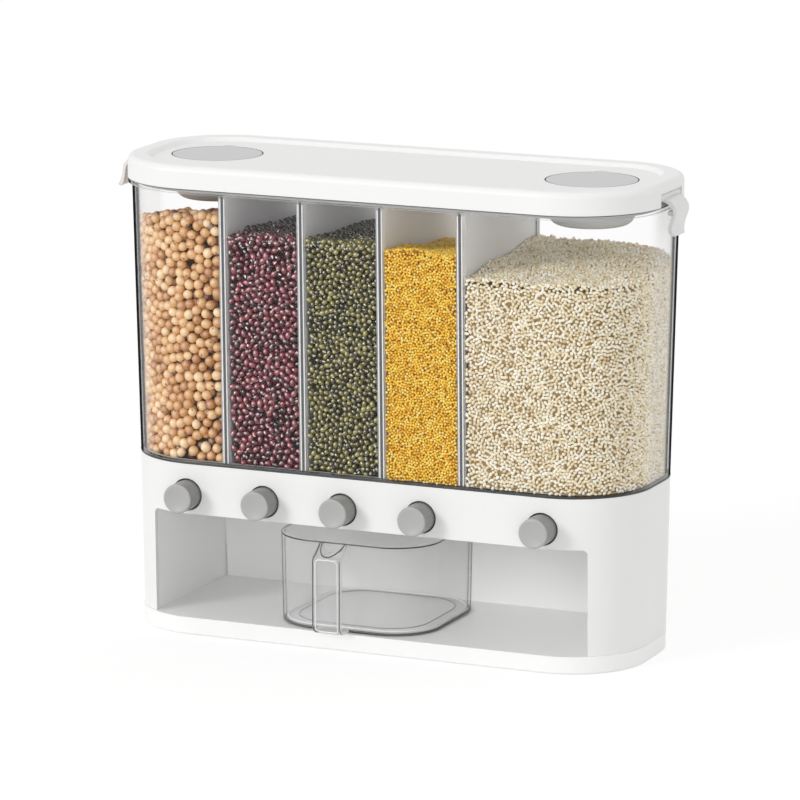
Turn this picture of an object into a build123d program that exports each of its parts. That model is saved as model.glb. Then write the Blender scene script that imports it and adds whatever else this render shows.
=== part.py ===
from build123d import *
import os
from math import cos, pi, radians, sin

# Wall-mounted grain dispenser: a clear five-part bin on a white base with push-button gates.
# Millimetres. +Z up, front at -Y, origin at the middle of the underside.

# Plan outline, at the seam between base and bin
LENGTH = 380.0
DEPTH = 132.8
FRONT_CORNER_R = 57.0
REAR_CORNER_R = 48.0

# Heights
HEIGHT = 332.8
LID_H = 16.0
SEAM_Z = 122.3
BUTTON_DROP = 21.8  # from the seam down to the middle of the buttons
BAY_DROP = 35.5  # from the seam down to the ceiling of the bay
TRAY_H = 12.5

# Base casing and tray
BASE_DRAFT = 2.1  # the outline is this much smaller at the worktop than at the seam
BASE_WALL = 2.6
TRAY_PROUD = 1.4
TRAY_WALL = 2.6
TRAY_EDGE_R = 1.8
TRAY_RIB_T = 2.4
TRAY_RIB_PITCH = 36.0
FIT_GAP = 0.3
SLIDE_GAP = 0.1  # between a sliding piece and what it slides on or sits in

# Serving bay
BAY_SIDE = 27.6
BAY_BACK = 9.4
BAY_CORNER_R = 3.5
LINER_WALL = 2.4

# Tray screws and the bosses that take them
SCREW_R = 1.5
SCREW_L = 22.0
SCREW_HEAD_R = 2.9
SCREW_HEAD_H = 2.0
SCREW_HEAD_DEPTH = 4.0
SCREW_GAP = 0.05
SCREW_PITCH_Y = 60.0
BOSS_R = 4.5
BOSS_H = 26.0
BOSS_RIB_T = 2.4

# Keyhole bosses on the back
KEYHOLE_INSET = 80.0
KEYHOLE_DROP = 26.3
KEYHOLE_R = 4.5
KEYHOLE_SLOT_R = 2.4
KEYHOLE_RISE = 12.0
KEYHOLE_BOSS_R = 12.0
KEYHOLE_BOSS_WALL = 2.4

# Clear bin, the rim round its top and the hoppers under its floor
BIN_DRAFT = 4.5  # the outline is this much larger at the lid than at the seam
BIN_WALL = 2.4
BIN_FLOOR = 2.4
BIN_RISE = 1.3
RIM_GAP = 0.6
RIM_H = 2.6
RIM_INSET = 0.3
RIM_FIT = 0.05
HOPPER_WALL = 2.0
HOPPER_GAP = 0.6
HOPPER_LAND = 1.2
HOPPER_DROP = 14.3
SPOUT_W = 26.0
SPOUT_L = 12.0
SPOUT_Y = 0.0

# Compartments: four narrow ones from the left, one wide one on the right
NARROW_COUNT = 4
NARROW_SHARE = 0.155  # width of a narrow compartment as a share of the length
FIRST_BUTTON_INSET = 56.5
LAST_BUTTON_INSET = 57.7
DIVIDER_T = 2.0
DIVIDER_GAP = 0.15
DIVIDER_TOP_GAP = 0.7
GUIDE_T = 1.6
GUIDE_DEPTH = 4.0

# Level of each fill at the front and at the back wall, below the lid's edge
FILL_DROPS = ((16.5, 36.5), (32.5, 35.5), (32.5, 34.5), (31.5, 45.5), (47.5, 40.5))
FILL_GAP = 0.3
FILL_GATE_GAP = 0.8

# Lid, the frame under it and the seal
LID_OVERHANG = 2.9
LID_WALL = 2.6
LID_EDGE_R = 4.5
LID_BEAD_W = 14.0
LID_BEAD_SLOPE = 3.0
LID_BEAD_R = 1.2
LID_RECESS = 2.8
FRAME_DEPTH = 3.3
FRAME_WALL = 2.2
FRAME_GAP = 1.9
SEAL_H = 2.5
SEAL_RISE = 0.4
SEAL_GAP = 0.25

# Desiccant cups and their caps
CAP_INSET = 49.5
CAP_Y = 2.0
CAP_R = 31.4
CAP_T = 2.4
CAP_GAP = 0.8
CAP_TAB_R = 5.5
CAP_TAB_INSET = 1.0
CAP_TAB_ANGLE = 100.0
CAP_PLUG_H = 4.0
CUP_R = 29.8
CUP_DEPTH = 27.9
CUP_WALL = 1.6
CUP_FLANGE_T = 2.4
CUP_EDGE_R = 8.0
VENT_R = 2.0
VENT_COUNT = 8
VENT_RING_R = 14.0
WELL_WALL = 2.1
WELL_H = 5.0

# Lid latches; the left one is drawn swung further out than the right one
LATCH_HALF_W = 12.5
LATCH_BARREL_R = 3.0
LATCH_T = 2.5
LATCH_SPREAD = 10.4
LATCH_BULGE = 1.2
LATCH_NECK = 0.8  # where the arm leaves the barrel, as a share of the barrel's radius
LATCH_ARM_DROP = 4.0
LATCH_DROP = 26.2
LATCH_CREST_AT = 0.33  # height of the bulge and of the waist under it, as shares of the drop
LATCH_WAIST_AT = 0.67
LATCH_TONGUE_R = 10.5
LATCH_LEFT_SWING = 30.0
LATCH_PIN_R = 1.2
LATCH_PIN_GAP = 0.05
LATCH_PIN_INSET = 3.8
LATCH_PIN_RISE = 5.6
LATCH_SIDE_GAP = 0.3
LATCH_SLOT_HALF_W = 19.3
LATCH_SLOT_H = 9.0
LUG_T = 5.2
HOOK_HALF_W = 8.0
HOOK_H = 3.0
HOOK_GAP = 0.6  # under the rim, and out from it while the latch is released

# Buttons
BUTTON_R = 10.4
BUTTON_PROUD = 16.2
BUTTON_L = 24.2
BUTTON_WALL = 1.8
BUTTON_DISH = 1.2
BUTTON_EDGE_R = 1.0
BUTTON_HOLE_GAP = 1.0
BUTTON_TRAVEL = 14.0
SLEEVE_WALL = 1.2
SLEEVE_L = 11.0
SOCKET_WALL = 1.8

# Slide gates and the frames that guide them
GATE_W = 34.0
GATE_T = 3.5
GATE_LAND = 12.0
GATE_GAP = 0.35
GATE_TONGUE_W = 8.0
GATE_TONGUE_L = 8.0
CHUTE_CLEAR = 1.0
CHUTE_WALL = 2.0
RAIL_BASE_T = 1.6
RAIL_T = 2.5
RAIL_LEDGE = 2.5
RAIL_LIP = 1.8

# Return springs
SPRING_R = 4.0
SPRING_WIRE_R = 0.55
SPRING_BACK_INSET = 5.0
SPRING_TURNS = 6
SPRING_STEPS = 10
SPRING_WIRE_SIDES = 6
SPIGOT_R = 2.6
SPIGOT_L = 6.0
SEAT_T = 3.0
SEAT_HALF_W = 9.0

# Measuring cup
MEASURE_X = -16.0
MEASURE_FRONT_INSET = 4.6
MEASURE_BACK_GAP = 3.2
MEASURE_TOP_GAP = 10.9
MEASURE_CORNER_R = 33.0
MEASURE_DRAFT = 1.2
MEASURE_WALL = 2.0
MEASURE_FLOOR = 2.6
MEASURE_EDGE_R = 1.5
MEASURE_GAP = 0.2
MEASURE_FOOT_W = 11.0
MEASURE_FOOT_H = 0.8
HANDLE_X = -6.7  # the handle stands left of the cup's middle
HANDLE_W = 21.0
HANDLE_T = 3.2
HANDLE_REACH = 15.2
HANDLE_FALL = 7.6  # from the rim down to the top of the strap
HANDLE_SCOOP_R = 8.6
HANDLE_TOP_R = 4.5
HANDLE_FOOT_R = 8.0

OVERCUT = 1.0  # how far a cutting solid runs past the face that it cuts
PICK_TOL = 0.1  # how close to a level an edge lies when it is picked by height

# Values worked out from the driving dimensions
half_length = LENGTH / 2
half_depth = DEPTH / 2
lid_z = HEIGHT - LID_H
button_z = SEAM_Z - BUTTON_DROP
bay_top_z = SEAM_Z - BAY_DROP
deck_top_z = bay_top_z + LINER_WALL
bay_w = LENGTH - 2 * BAY_SIDE
bay_back_y = half_depth - BAY_BACK
keyhole_x = half_length - KEYHOLE_INSET
keyhole_z = SEAM_Z - KEYHOLE_DROP
bin_floor_z = SEAM_Z + BIN_FLOOR
bin_top_z = lid_z + BIN_RISE
rim_z = (lid_z - RIM_GAP - RIM_H, lid_z - RIM_GAP)
frame_z = lid_z - FRAME_DEPTH
divider_top_z = frame_z - DIVIDER_TOP_GAP
panel_z = HEIGHT - LID_RECESS
panel_under_z = panel_z - LID_WALL
lid_grow = BIN_DRAFT + LID_OVERHANG
wall_plane_y = half_depth + lid_grow

pitch = LENGTH * NARROW_SHARE
first_button_x = FIRST_BUTTON_INSET - half_length
last_button_x = half_length - LAST_BUTTON_INSET
button_xs = [first_button_x + i * pitch for i in range(NARROW_COUNT)] + [last_button_x]
divider_xs = [x + pitch / 2 for x in button_xs[:NARROW_COUNT]]
guide_half = DIVIDER_T / 2 + DIVIDER_GAP + GUIDE_T
ends = {"left": -1, "right": 1}
cap_xs = {name: side * (half_length - CAP_INSET) for name, side in ends.items()}

gate_bottom_z = button_z - GATE_T / 2
gate_top_z = button_z + GATE_T / 2
ledge_z = gate_bottom_z - SLIDE_GAP
spout_end_z = gate_top_z + GATE_GAP
hopper_end_z = SEAM_Z - HOPPER_DROP
port_rest_y = SPOUT_Y - BUTTON_TRAVEL
gate_front_y = port_rest_y - SPOUT_L / 2 - GATE_LAND
gate_rear_y = SPOUT_Y + SPOUT_L / 2 + GATE_LAND
spring_rear_y = bay_back_y - SPRING_BACK_INSET
chute_half_w = SPOUT_W / 2 + CHUTE_CLEAR
chute_half_l = SPOUT_L / 2 + CHUTE_CLEAR


def base_grow(z):
    """Growth of the casing outline at height z."""
    return BASE_DRAFT * (z / SEAM_Z - 1)


def bin_grow(z):
    """Growth of the bin outline at height z."""
    return BIN_DRAFT * (z - SEAM_Z) / (lid_z - SEAM_Z)


button_face_y = -half_depth - base_grow(button_z) - BUTTON_PROUD
button_rear_y = button_face_y + BUTTON_L
button_hole_r = BUTTON_R + BUTTON_HOLE_GAP
sleeve_end_y = -half_depth - base_grow(button_z) + BASE_WALL + SLEEVE_L
boss_x = bay_w / 2 + LINER_WALL + BOSS_R + FIT_GAP
boss_places = [(sx * boss_x, sy * SCREW_PITCH_Y / 2) for sx in (-1, 1) for sy in (-1, 1)]
latch_y = (FRONT_CORNER_R - REAR_CORNER_R) / 2  # middle of the straight stretch of each end
pin_x = half_length + lid_grow - LATCH_PIN_INSET
pin_z = lid_z + LATCH_PIN_RISE
pin_half = LATCH_SLOT_HALF_W + LUG_T - LID_WALL
frame_grow = bin_grow(frame_z) - BIN_WALL - FRAME_GAP
cap_bottom_z = panel_z - CAP_T
cup_bottom_z = cap_bottom_z - CUP_DEPTH
well_ledge_z = cap_bottom_z - CUP_FLANGE_T
tab_dx = (CAP_R - CAP_TAB_INSET) * cos(radians(CAP_TAB_ANGLE))
tab_y = CAP_Y + (CAP_R - CAP_TAB_INSET) * sin(radians(CAP_TAB_ANGLE))
measure_z = TRAY_H + MEASURE_GAP
measure_h = bay_top_z - MEASURE_TOP_GAP - measure_z
measure_w = bay_back_y - MEASURE_BACK_GAP + half_depth - MEASURE_FRONT_INSET
measure_y = bay_back_y - MEASURE_BACK_GAP - measure_w / 2


def block(x, y, z):
    """Box between pairs of coordinates."""
    size = [high - low for low, high in (x, y, z)]
    middle = [(low + high) / 2 for low, high in (x, y, z)]
    return Pos(*middle) * Box(*size)


def rod_y(x, z, y, r):
    """Round bar along Y between a pair of y values."""
    return Pos(x, (y[0] + y[1]) / 2, z) * Rot(90, 0, 0) * Cylinder(r, y[1] - y[0])


def rod_z(x, y, z, r):
    """Round bar along Z between a pair of z values."""
    return Pos(x, y, (z[0] + z[1]) / 2) * Cylinder(r, z[1] - z[0])


def outline(grow, front=0.0):
    """Plan outline let out by grow, with the front moved out by front as well."""
    plan = Pos(0, -front / 2) * Rectangle(LENGTH + 2 * grow, DEPTH + 2 * grow + front)
    plan = fillet(plan.vertices().group_by(Axis.Y)[0], FRONT_CORNER_R + grow)
    return fillet(plan.vertices().group_by(Axis.Y)[-1], REAR_CORNER_R + grow)


def upright(grow, z):
    """Straight-sided prism on the outline between a pair of heights."""
    return extrude(Pos(0, 0, z[0]) * outline(grow), z[1] - z[0])


def drafted(growth, offset, z, front=0.0):
    """Tapered prism on the outline, let out by offset, between a pair of heights."""
    return loft([Pos(0, 0, h) * outline(growth(h) + offset, front) for h in z], ruled=True)


def casing(offset, z, front=0.0):
    return drafted(base_grow, offset, z, front)


def bin_prism(offset, z):
    return drafted(bin_grow, offset, z)


def keyhole_boss(x):
    """Hollow boss that stands the back off the wall, and what is cut out of it."""
    rise = KEYHOLE_BOSS_R * 2 + KEYHOLE_RISE
    middle = keyhole_z + KEYHOLE_RISE / 2

    def stadium(r, y):
        shape = SlotOverall(rise - 2 * (KEYHOLE_BOSS_R - r), 2 * r, rotation=90)
        back_plane = Plane((x, y[0], middle), x_dir=(1, 0, 0), z_dir=(0, 1, 0))
        return extrude(back_plane * shape, y[1] - y[0])

    inner_y = half_depth - BASE_WALL - BASE_DRAFT
    face_y = wall_plane_y - KEYHOLE_BOSS_WALL
    cut_y = (face_y - OVERCUT, wall_plane_y + OVERCUT)
    top_z = keyhole_z + KEYHOLE_RISE
    hollow = stadium(KEYHOLE_BOSS_R - KEYHOLE_BOSS_WALL, (inner_y - OVERCUT, face_y))
    entry = rod_y(x, keyhole_z, cut_y, KEYHOLE_R)
    end = rod_y(x, top_z, cut_y, KEYHOLE_SLOT_R)
    slot = block((x - KEYHOLE_SLOT_R, x + KEYHOLE_SLOT_R), cut_y, (keyhole_z, top_z))
    return stadium(KEYHOLE_BOSS_R, (inner_y, wall_plane_y)), hollow + entry + slot + end


def base_shell():
    """Casing wall with the bay opening, button sleeves, screw bosses and keyhole bosses."""
    height = (TRAY_H, SEAM_Z)
    outer = casing(0, height)
    shell = outer - casing(-BASE_WALL, (TRAY_H - OVERCUT, SEAM_Z + OVERCUT))

    opening = Rectangle(bay_w, bay_top_z - TRAY_H)
    opening = fillet(opening.vertices().group_by(Axis.Y)[-1], BAY_CORNER_R)
    front_plane = Plane((0, 0, (bay_top_z + TRAY_H) / 2), x_dir=(1, 0, 0), z_dir=(0, -1, 0))
    shell -= extrude(front_plane * opening, DEPTH)

    for x in button_xs:
        sleeve = rod_y(x, button_z, (-half_depth, sleeve_end_y), button_hole_r + SLEEVE_WALL)
        shell += sleeve & outer
    for x in button_xs:
        shell -= rod_y(x, button_z, (-DEPTH, sleeve_end_y + OVERCUT), button_hole_r)

    for x, y in boss_places:
        side = 1 if x > 0 else -1
        boss_z = (TRAY_H, TRAY_H + BOSS_H)
        rib = block(sorted((x, side * half_length)), (y - BOSS_RIB_T / 2, y + BOSS_RIB_T / 2), boss_z)
        shell += (rod_z(x, y, boss_z, BOSS_R) + rib) & outer
        shell -= rod_z(x, y, (TRAY_H - OVERCUT, TRAY_H + BOSS_H - BASE_WALL), SCREW_R + SCREW_GAP)

    for side in ends.values():
        boss, cut = keyhole_boss(side * keyhole_x)
        shell = shell + boss - cut
    return shell


def bottom_tray():
    """Shallow tray under the casing, ribbed below; its top plate is the floor of the bay."""
    tray = casing(0, (0, TRAY_H), TRAY_PROUD)
    tray = fillet(tray.edges().group_by(Axis.Z)[0], TRAY_EDGE_R)
    hollow = casing(-TRAY_WALL, (-OVERCUT, TRAY_H - TRAY_WALL), TRAY_PROUD)
    tray -= hollow
    rib = TRAY_RIB_T / 2
    rib_z = (0, TRAY_H - TRAY_WALL)
    across = int(half_length // TRAY_RIB_PITCH)
    along = int(half_depth // TRAY_RIB_PITCH)
    ribs = []
    for i in range(-across, across + 1):
        x = i * TRAY_RIB_PITCH
        ribs.append(block((x - rib, x + rib), (-DEPTH, DEPTH), rib_z))
    for i in range(-along, along + 1):
        y = i * TRAY_RIB_PITCH
        ribs.append(block((-LENGTH, LENGTH), (y - rib, y + rib), rib_z))
    for piece in ribs:
        tray += piece & hollow
    for x, y in boss_places:
        tray += rod_z(x, y, (0, TRAY_H - OVERCUT), SCREW_HEAD_R + TRAY_WALL)
        tray -= rod_z(x, y, (-OVERCUT, TRAY_H + OVERCUT), SCREW_R + FIT_GAP)
        tray -= rod_z(x, y, (-OVERCUT, SCREW_HEAD_DEPTH), SCREW_HEAD_R + FIT_GAP)
    return tray


def tray_screws():
    """The four self-tapping screws, seated in the tray's counterbores."""
    screws = []
    for x, y in boss_places:
        head = rod_z(x, y, (SCREW_HEAD_DEPTH - SCREW_HEAD_H, SCREW_HEAD_DEPTH), SCREW_HEAD_R)
        shank = rod_z(x, y, (SCREW_HEAD_DEPTH, SCREW_HEAD_DEPTH + SCREW_L), SCREW_R)
        screws.append((head + shank).solid())
    return Compound(children=screws)


def liner_zone(z):
    """What the bay's walls and ceiling may fill inside the casing between a pair of heights."""
    half_w = bay_w / 2 + LINER_WALL
    zone = block((-half_w, half_w), (-DEPTH, bay_back_y + LINER_WALL), z)
    return zone & casing(-BASE_WALL - FIT_GAP, z)


def bay_liner():
    """Back and side walls of the bay."""
    half_w = bay_w / 2
    return liner_zone((TRAY_H, bay_top_z)) - block((-half_w, half_w), (-DEPTH, bay_back_y), (0, SEAM_Z))


def chute_hole(x, z):
    """What is cut away for the chute under one gate between a pair of heights."""
    y = (SPOUT_Y - chute_half_l, SPOUT_Y + chute_half_l)
    return block((x - chute_half_w, x + chute_half_w), y, z)


def deck_front():
    """Ceiling of the bay in front of the chutes, with room for the button sleeves."""
    zone = block((-LENGTH, LENGTH), (-DEPTH, SPOUT_Y - chute_half_l), (bay_top_z, deck_top_z))
    deck = liner_zone((bay_top_z, deck_top_z)) & zone
    sleeve_r = button_hole_r + SLEEVE_WALL + FIT_GAP
    for x in button_xs:
        deck -= rod_y(x, button_z, (-DEPTH, sleeve_end_y + FIT_GAP), sleeve_r)
    return deck


def deck_rear():
    """Ceiling of the bay behind the chutes."""
    zone = block((-LENGTH, LENGTH), (SPOUT_Y + chute_half_l, DEPTH), (bay_top_z, deck_top_z))
    return liner_zone((bay_top_z, deck_top_z)) & zone


def deck_webs():
    """The strips of the ceiling between and beside the chutes."""
    zone = block((-LENGTH, LENGTH), (SPOUT_Y - chute_half_l, SPOUT_Y + chute_half_l), (bay_top_z, deck_top_z))
    webs = liner_zone((bay_top_z, deck_top_z)) & zone
    for x in button_xs:
        webs -= chute_hole(x, (bay_top_z - OVERCUT, deck_top_z + OVERCUT))
    return Compound(children=webs.solids())


def gate_guide(x):
    """Frame on the deck that carries one gate: chute, ledges, side rails and spring seat."""
    inner = GATE_W / 2 + GATE_GAP
    outer = inner + RAIL_T
    rail_y = (gate_front_y, gate_rear_y + BUTTON_TRAVEL)
    seat_y = (spring_rear_y, spring_rear_y + SEAT_T)
    base_y = (gate_front_y, max(rail_y[1], seat_y[1]))
    frame = block((x - outer, x + outer), base_y, (deck_top_z, deck_top_z + RAIL_BASE_T))
    for side in ends.values():
        rail_x = sorted((x + side * inner, x + side * outer))
        frame += block(rail_x, rail_y, (deck_top_z, gate_top_z + RAIL_LIP))
        ledge_x = sorted((x + side * (inner - RAIL_LEDGE), x + side * outer))
        frame += block(ledge_x, rail_y, (deck_top_z, ledge_z))
    seat_z = (deck_top_z, button_z + SPRING_R + SPIGOT_R)
    frame += block((x - SEAT_HALF_W, x + SEAT_HALF_W), seat_y, seat_z)
    frame += rod_y(x, button_z, (spring_rear_y - SPIGOT_L, seat_y[1]), SPIGOT_R)
    out_w = chute_half_w + CHUTE_WALL
    out_l = chute_half_l + CHUTE_WALL
    frame += block((x - out_w, x + out_w), (SPOUT_Y - out_l, SPOUT_Y + out_l), (deck_top_z, ledge_z))
    return frame - chute_hole(x, (deck_top_z - OVERCUT, gate_bottom_z + OVERCUT))


def mouth_range(index):
    """Left and right edge of the mouth of one hopper."""
    land = guide_half + HOPPER_LAND
    edge = half_length - BASE_WALL - HOPPER_WALL - HOPPER_GAP
    left = -edge if index == 0 else divider_xs[index - 1] + land
    right = edge if index == NARROW_COUNT else divider_xs[index] - land
    return left, right


def funnel(index, grow, end_z):
    """Prism of the funnel and spout under one compartment, let out by grow, down to end_z."""
    left, right = mouth_range(index)
    edge = BASE_WALL + HOPPER_WALL + HOPPER_GAP
    mouth = Rectangle(right - left + 2 * grow, 2 * (half_depth - edge + grow))
    mouth = Pos((left + right) / 2, 0, bin_floor_z) * mouth
    throat = Pos(button_xs[index], SPOUT_Y, hopper_end_z)
    throat *= Rectangle(SPOUT_W + 2 * grow, SPOUT_L + 2 * grow)
    cone = loft([throat, mouth], ruled=True)
    if index in (0, NARROW_COUNT):
        cone &= casing(grow - edge, (hopper_end_z - OVERCUT, bin_floor_z + OVERCUT))
    half_w = SPOUT_W / 2 + grow
    half_l = SPOUT_L / 2 + grow
    x = button_xs[index]
    spout_y = (SPOUT_Y - half_l, SPOUT_Y + half_l)
    return cone + block((x - half_w, x + half_w), spout_y, (end_z, hopper_end_z))


def hopper(index):
    """Funnel and spout that hang under the bin's floor."""
    below = block((-LENGTH, LENGTH), (-DEPTH, DEPTH), (0, SEAM_Z))
    return (funnel(index, HOPPER_WALL, spout_end_z) & below) - funnel(index, 0, spout_end_z - OVERCUT)


def clear_bin():
    """Drafted box with divider guides and a mouth in its floor for each hopper."""
    outer = bin_prism(0, (SEAM_Z, bin_top_z))
    box = outer - bin_prism(-BIN_WALL, (bin_floor_z, bin_top_z + OVERCUT))
    core = bin_prism(-BIN_WALL - GUIDE_DEPTH, (bin_floor_z, bin_top_z + OVERCUT))
    shell_zone = outer - core
    guide_z = (SEAM_Z, divider_top_z - DIVIDER_TOP_GAP)
    for x in divider_xs:
        for side in ends.values():
            face = x + side * (DIVIDER_T / 2 + DIVIDER_GAP)
            guide = block(sorted((face, face + side * GUIDE_T)), (-DEPTH, DEPTH), guide_z)
            box += guide & shell_zone
    for index in range(len(button_xs)):
        box -= funnel(index, 0, spout_end_z)
    return box


def bin_rim():
    """Flange round the bin just under the lid, which the latches hook under."""
    return upright(lid_grow - RIM_INSET, rim_z) - bin_prism(RIM_FIT, (rim_z[0] - OVERCUT, rim_z[1] + OVERCUT))


def divider(x):
    """Panel between two compartments, standing in the guides."""
    panel = block((x - DIVIDER_T / 2, x + DIVIDER_T / 2), (-DEPTH, DEPTH), (bin_floor_z, divider_top_z))
    return panel & bin_prism(-BIN_WALL - DIVIDER_GAP, (bin_floor_z, divider_top_z))


def grain(index):
    """Fill of one compartment down to its gate, with a sloping top."""
    front_drop, back_drop = FILL_DROPS[index]
    left = -LENGTH if index == 0 else divider_xs[index - 1] + guide_half + FILL_GAP
    right = LENGTH if index == NARROW_COUNT else divider_xs[index] - guide_half - FILL_GAP
    base_z = bin_floor_z + FILL_GAP
    reach = half_depth + BIN_DRAFT
    side_view = Polyline(
        (-reach, base_z),
        (reach, base_z),
        (reach, lid_z - back_drop),
        (-reach, lid_z - front_drop),
        close=True,
    )
    side_plane = Plane((left, 0, 0), x_dir=(0, 1, 0), z_dir=(1, 0, 0))
    wedge = extrude(side_plane * make_face(side_view), right - left)
    fill = wedge & bin_prism(-BIN_WALL - FILL_GAP, (base_z, lid_z))
    fill += funnel(index, -FILL_GAP, gate_top_z + FILL_GATE_GAP)
    left, right = mouth_range(index)
    mouth_y = half_depth - BASE_WALL - HOPPER_WALL - HOPPER_GAP - FILL_GAP
    neck = block((left + FILL_GAP, right - FILL_GAP), (-mouth_y, mouth_y), (bin_floor_z, base_z))
    if index in (0, NARROW_COUNT):
        neck &= casing(mouth_y - half_depth, (SEAM_Z, base_z + OVERCUT))
    return fill + neck


def cap_prism(x, grow, z):
    """Prism of a cap's outline with its finger tab, let out by grow."""
    return rod_z(x, CAP_Y, z, CAP_R + grow) + rod_z(x + tab_dx, tab_y, z, CAP_TAB_R + grow)


def lid():
    """Lid with a raised bead, latch slots and lugs, and two wells for the cups."""
    body = upright(lid_grow, (lid_z, HEIGHT))
    body = fillet(body.faces().sort_by(Axis.Z)[-1].edges(), LID_EDGE_R)
    recess_grow = lid_grow - LID_BEAD_W
    recess = loft(
        [
            Pos(0, 0, panel_z) * outline(recess_grow - LID_BEAD_SLOPE),
            Pos(0, 0, HEIGHT) * outline(recess_grow),
        ],
        ruled=True,
    )
    body -= recess
    rim_y = half_depth + recess_grow + PICK_TOL
    top_edges = body.edges().filter_by(lambda e: abs(e.center().Z - HEIGHT) < PICK_TOL)
    body = fillet(top_edges.filter_by(lambda e: e.bounding_box().max.Y < rim_y), LID_BEAD_R)
    body -= upright(lid_grow - LID_WALL, (lid_z - OVERCUT, panel_under_z))

    end_x = half_length + lid_grow
    lug_z = (pin_z - LATCH_BARREL_R, panel_under_z + OVERCUT)
    for side in ends.values():
        slot_x = sorted((side * (end_x - LID_WALL - OVERCUT), side * (end_x + OVERCUT)))
        slot_y = (latch_y - LATCH_SLOT_HALF_W, latch_y + LATCH_SLOT_HALF_W)
        body -= block(slot_x, slot_y, (lid_z - OVERCUT, lid_z + LATCH_SLOT_H))
        lug_x = sorted((side * (half_length + frame_grow + FIT_GAP), side * (end_x - LID_WALL / 2)))
        for edge in ends.values():
            near = latch_y + edge * LATCH_SLOT_HALF_W
            body += block(lug_x, sorted((near, near + edge * LUG_T)), lug_z)
        body -= rod_y(side * pin_x, pin_z, (latch_y - pin_half, latch_y + pin_half), LATCH_PIN_R)

    for x in cap_xs.values():
        well_z = (well_ledge_z - WELL_H, panel_under_z + OVERCUT)
        tab_z = (well_ledge_z, panel_under_z + OVERCUT)
        body += rod_z(x, CAP_Y, well_z, CAP_R + CAP_GAP + WELL_WALL)
        body += rod_z(x + tab_dx, tab_y, tab_z, CAP_TAB_R + CAP_GAP + WELL_WALL)
        body -= cap_prism(x, CAP_GAP, (cap_bottom_z, HEIGHT))
        body -= rod_z(x, CAP_Y, (well_ledge_z, HEIGHT), CAP_R + CAP_GAP)
        body -= rod_z(x, CAP_Y, (well_ledge_z - WELL_H - OVERCUT, HEIGHT), CUP_R + FIT_GAP)
    return body


def seal_frame():
    """Frame under the lid's panel that reaches into the bin and carries the seal."""
    frame = upright(frame_grow, (frame_z, panel_under_z))
    return frame - upright(frame_grow - FRAME_WALL, (frame_z - OVERCUT, panel_under_z + OVERCUT))


def lid_seal():
    """Ring round the seal frame, just clear of the bin wall."""
    low = frame_z + SEAL_RISE
    ring = upright(bin_grow(low) - BIN_WALL - SEAL_GAP, (low, low + SEAL_H))
    return ring - upright(frame_grow, (low - OVERCUT, low + SEAL_H + OVERCUT))


def desiccant_cup(x):
    """Vented cup that hangs from a ledge in the lid."""
    cup = rod_z(x, CAP_Y, (cup_bottom_z, cap_bottom_z), CUP_R)
    cup = fillet(cup.edges().sort_by(Axis.Z)[0], CUP_EDGE_R)
    cup += rod_z(x, CAP_Y, (well_ledge_z, cap_bottom_z), CAP_R)
    inside = rod_z(x, CAP_Y, (cup_bottom_z + CUP_WALL, cap_bottom_z + OVERCUT), CUP_R - CUP_WALL)
    cup -= fillet(inside.edges().sort_by(Axis.Z)[0], CUP_EDGE_R - CUP_WALL)
    vent_z = (cup_bottom_z - OVERCUT, cup_bottom_z + CUP_WALL + OVERCUT)
    for i in range(VENT_COUNT):
        angle = 2 * pi * i / VENT_COUNT
        cup -= rod_z(x + VENT_RING_R * cos(angle), CAP_Y + VENT_RING_R * sin(angle), vent_z, VENT_R)
    return cup


def desiccant_cap(x):
    """Disc flush with the lid, with a finger tab and a short plug into the cup."""
    cap = cap_prism(x, 0, (cap_bottom_z, panel_z))
    plug_r = CUP_R - CUP_WALL - FIT_GAP
    plug_low = cap_bottom_z - CAP_PLUG_H
    cap += rod_z(x, CAP_Y, (plug_low, cap_bottom_z + OVERCUT), plug_r)
    return cap - rod_z(x, CAP_Y, (plug_low - OVERCUT, cap_bottom_z), plug_r - CUP_WALL)


def latch_profile():
    """Side view of the right latch about its pin: arm, bulge, waist and tab."""
    neck = LATCH_BARREL_R * LATCH_NECK
    shoulder = LATCH_SPREAD - LATCH_T
    crest = LATCH_SPREAD + LATCH_BULGE
    waist = LATCH_SPREAD - LATCH_BULGE
    foot = LATCH_SPREAD - LATCH_BULGE / 2
    crest_z = -LATCH_DROP * LATCH_CREST_AT
    waist_z = -LATCH_DROP * LATCH_WAIST_AT
    outer_points = [
        (neck, 0),
        (shoulder - LATCH_T / 2, -LATCH_T / 2),
        (crest, crest_z),
        (waist, waist_z),
        (foot, -LATCH_DROP),
    ]
    inner_points = [
        (foot - LATCH_T, -LATCH_DROP),
        (waist - LATCH_T, waist_z),
        (crest - LATCH_T, crest_z),
        (shoulder - LATCH_T, -LATCH_ARM_DROP),
        (neck / 2, -neck),
    ]
    outer = Spline(outer_points)
    inner = Spline(inner_points)
    rim = [outer, Line(outer_points[-1], inner_points[0]), inner, Line(inner_points[-1], outer_points[0])]
    return make_face(rim)


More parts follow.
